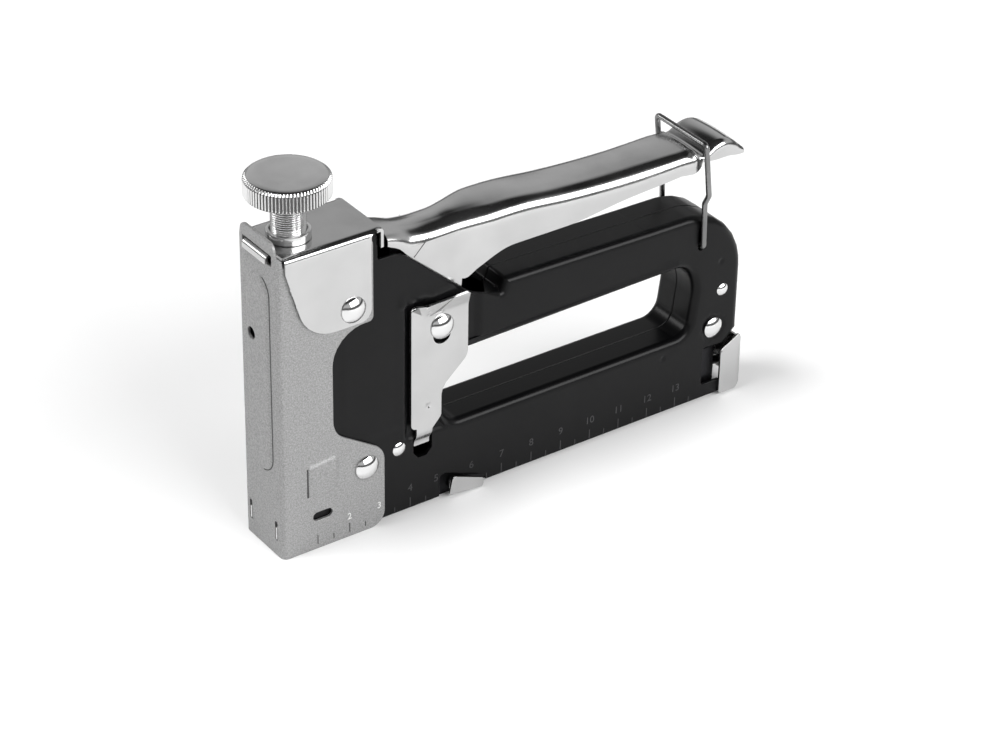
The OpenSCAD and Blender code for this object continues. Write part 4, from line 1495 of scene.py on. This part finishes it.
@dataclass
class Rule:
    """The centimetre rule that is stamped along the left side of the base."""

    last: int = 13
    five_x: float = 48.4  # the 5 stands clear of the catch's notch
    line: float = 0.28
    rise: float = 0.05
    face: float = 8.5
    nose_face: float = 9.5

    def ticks(self, maker: MeshMaker, xs: Iterable[float], y: float) -> None:
        """Adds one upright line for each x, long on whole centimetres."""
        for x in xs:
            tall = 4.4 if abs(x / 10 - round(x / 10)) < 0.01 else 3.0
            lo, hi = x - self.line / 2, x + self.line / 2
            line = [(lo, 1.4, 0.1), (hi, 1.4, 0.1), (hi, tall, 0.1), (lo, tall, 0.1)]
            slab(maker, rounded(line, 2), -y - self.rise, -y + 0.1)

    def numeral(
        self, number: int, x: float, z: float, y: float, size: float, finish: Finish
    ) -> None:
        """Adds a generic rule numeral as a thin raised mesh.

        Args:
            number: The centimetre that it names.
            x: Its middle.
            z: Height of its foot.
            y: Distance of the face that carries it from the middle plane.
            size: Its letter size.
            finish: Its finish.
        """
        curve = bpy.data.curves.new("numeral", "FONT")
        curve.body = str(number)
        curve.size = size * MM
        curve.align_x = "CENTER"
        curve.extrude = self.rise * MM
        curve.resolution_u = 4
        holder = bpy.data.objects.new("numeral", curve)
        show(holder)
        bpy.context.view_layer.update()
        graph = bpy.context.evaluated_depsgraph_get()
        mesh = bpy.data.meshes.new_from_object(holder.evaluated_get(graph))
        bpy.data.objects.remove(holder)
        mesh.transform(
            Matrix.Translation(((x - ZERO_TO_ORIGIN) * MM, -y * MM, z * MM))
            @ Matrix.Rotation(QUARTER, 4, "X")
        )
        mesh.materials.clear()
        mesh.materials.append(finish.material)
        obj = bpy.data.objects.new(f"rule_numeral_{number}", mesh)
        show(obj)
        settle(obj, "frame", finish)

    def build(self) -> None:
        """Makes the rule."""
        maker = MeshMaker()
        marks = [x for x in range(35, 136, 5) if x not in (50, 55, 60)]
        self.ticks(maker, marks, self.face)
        finish_piece(maker, "rule_marks", "frame", Finish.RULE)
        maker = MeshMaker()
        self.ticks(maker, (10, 15, 20, 25), self.nose_face)
        finish_piece(maker, "rule_marks_nose", "frame", Finish.NOSE_LINE)
        for n in range(4, self.last + 1):
            x = self.five_x if n == 5 else 10.0 * n
            self.numeral(n, x, 6.5, self.face, 3.2, Finish.RULE)
        for n, x in ((2, 20.0), (3, 29.4)):
            self.numeral(n, x, 5.6, self.nose_face, 2.8, Finish.NOSE_NUMERAL)


INNER_NODES = {
    "spring_seat": Finish.TOOL,
    "main_spring": Finish.WIRE,
    "plunger": Finish.TOOL,
    "driver_blade": Finish.TOOL,
    "driver_guide": Finish.PLATED,
    "shock_absorber": Finish.RUBBER,
    "lifter_arm": Finish.TOOL,
    "lever_return_spring": Finish.WIRE,
    "magazine_channel": Finish.MAGAZINE,
    "staple_rail": Finish.MAGAZINE,
    "pusher": Finish.MAGAZINE,
    "pusher_rod": Finish.MAGAZINE,
    "pusher_spring": Finish.WIRE,
    "spacer_sleeves": Finish.MAGAZINE,
}


def dress_inner(nodes: dict[str, bpy.types.Object]) -> None:
    """Gives the CAD nodes that stay visible their finishes."""
    for name, finish in INNER_NODES.items():
        data = nodes[name].data
        data.materials.clear()
        data.materials.append(finish.material)
        LOG.info("%s keeps its CAD shape", name)


# ---- studio ---------------------------------------------------------------------------


@dataclass
class Studio:
    """Pale floor, soft lights and the camera."""

    eye: tuple[float, float, float] = (-0.4320, -0.6007, 0.4900)
    right: tuple[float, float, float] = (0.8173, -0.5761, 0.0154)
    up: tuple[float, float, float] = (0.2952, 0.4414, 0.8473)
    back: tuple[float, float, float] = (-0.4949, -0.6880, 0.5308)
    lens: float = 115.3
    # name, direction from the gun, distance in metres, width and height in metres, watts
    LAMPS = [
        ("key", (0.35, -1.0, 0.62), 1.5, (1.6, 0.7), 24.0),
        ("fill", (-0.8, 0.7, 0.5), 1.5, (0.5, 0.5), 5.0),
        ("top", (-0.35, 0.1, 1.0), 1.6, (0.5, 0.5), 17.0),
    ]

    def camera(self) -> None:
        """Makes the scene's camera."""
        data = bpy.data.cameras.new("camera")
        data.lens = self.lens
        data.sensor_width = 36.0
        data.clip_start, data.clip_end = 0.05, 20.0
        obj = bpy.data.objects.new("camera", data)
        turn = Matrix((self.right, self.up, self.back)).transposed()
        obj.matrix_world = Matrix.Translation(self.eye) @ turn.to_4x4()
        show(obj)
        bpy.context.scene.camera = obj
        bpy.context.scene.view_settings.view_transform = "Standard"

    def lamp(
        self,
        name: str,
        aim: Sequence[float],
        distance: float,
        size: tuple[float, float],
        power: float,
    ) -> bpy.types.Object:
        """Adds a soft box that shines on the gun.

        Args:
            name: The lamp's name.
            aim: Direction from the gun to the lamp.
            distance: How far away it is, in metres.
            size: Its width and height in metres.
            power: Its power in watts.
        Returns:
            The lamp.
        """
        data = bpy.data.lights.new(name, "AREA")
        data.shape = "RECTANGLE"
        data.size, data.size_y = size
        data.energy = power
        obj = bpy.data.objects.new(name, data)
        way = Vector(aim).normalized()
        obj.location = way * distance + Vector((0, 0, 0.05))
        obj.rotation_euler = way.to_track_quat("Z", "Y").to_euler()
        show(obj)
        return obj

    def sky(self) -> None:
        """Makes a soft grey surround that is darker overhead, as in a light tent."""
        world = bpy.data.worlds.new("studio")
        bpy.context.scene.world = world
        world.use_nodes = True
        tree = world.node_tree
        at = tree.nodes.new("ShaderNodeTexCoord")
        split = tree.nodes.new("ShaderNodeSeparateXYZ")
        ramp = tree.nodes.new("ShaderNodeValToRGB")
        lift = tree.nodes.new("ShaderNodeMapRange")
        lift.inputs["From Min"].default_value = -1.0
        background = tree.nodes["Background"]
        background.inputs["Strength"].default_value = 1.0
        tree.links.new(at.outputs["Generated"], split.inputs["Vector"])
        tree.links.new(split.outputs["Z"], lift.inputs["Value"])
        tree.links.new(lift.outputs["Result"], ramp.inputs["Fac"])
        tree.links.new(ramp.outputs["Color"], background.inputs["Color"])
        stops = [
            (0.0, "#e0e0e0"), (0.49, "#a0a0a0"), (0.515, "#505050"), (0.57, "#585858"),
            (0.62, "#c8c8c8"), (0.7, "#c8c8c8"), (0.8, "#b4b4b4"), (0.87, "#181818"),
            (0.97, "#383838"),
        ]  # fmt: skip
        set_stops(ramp, stops)

    def floor(self) -> None:
        """Makes the pale floor."""
        bm = bmesh.new()
        bmesh.ops.create_grid(bm, x_segments=8, y_segments=8, size=4.0)
        mesh = bpy.data.meshes.new("floor")
        bm.to_mesh(mesh)
        bm.free()
        obj = bpy.data.objects.new("floor", mesh)
        show(obj)
        s = Surface("matt_white_paper")
        s.set(Base_Color=linear("#f6f6f6"), Roughness=0.9)
        mesh.materials.append(s.material)

    def build(self) -> None:
        """Makes the studio."""
        self.camera()
        self.sky()
        self.floor()
        lamps = [self.lamp(*row) for row in self.LAMPS]
        # The overhead light models the pressings and doesn't show in the polished parts
        lamps[-1].visible_glossy = False


def main() -> None:
    """Loads the frame, builds the gun and its studio, and logs the pieces as they are made."""
    logging.basicConfig(level=logging.INFO, format="%(message)s")
    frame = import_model()
    for part in (
        Shells(), NoseCover(), Bracket(), ForceScrew(), Lever(), RetainerPlate(), Bail(),
        RearPull(), Catch(), Rivets(), Rule(),
    ):  # fmt: skip
        part.build()
    dress_inner(frame["nodes"])
    Studio().build()


if __name__ == "__main__":
    main()
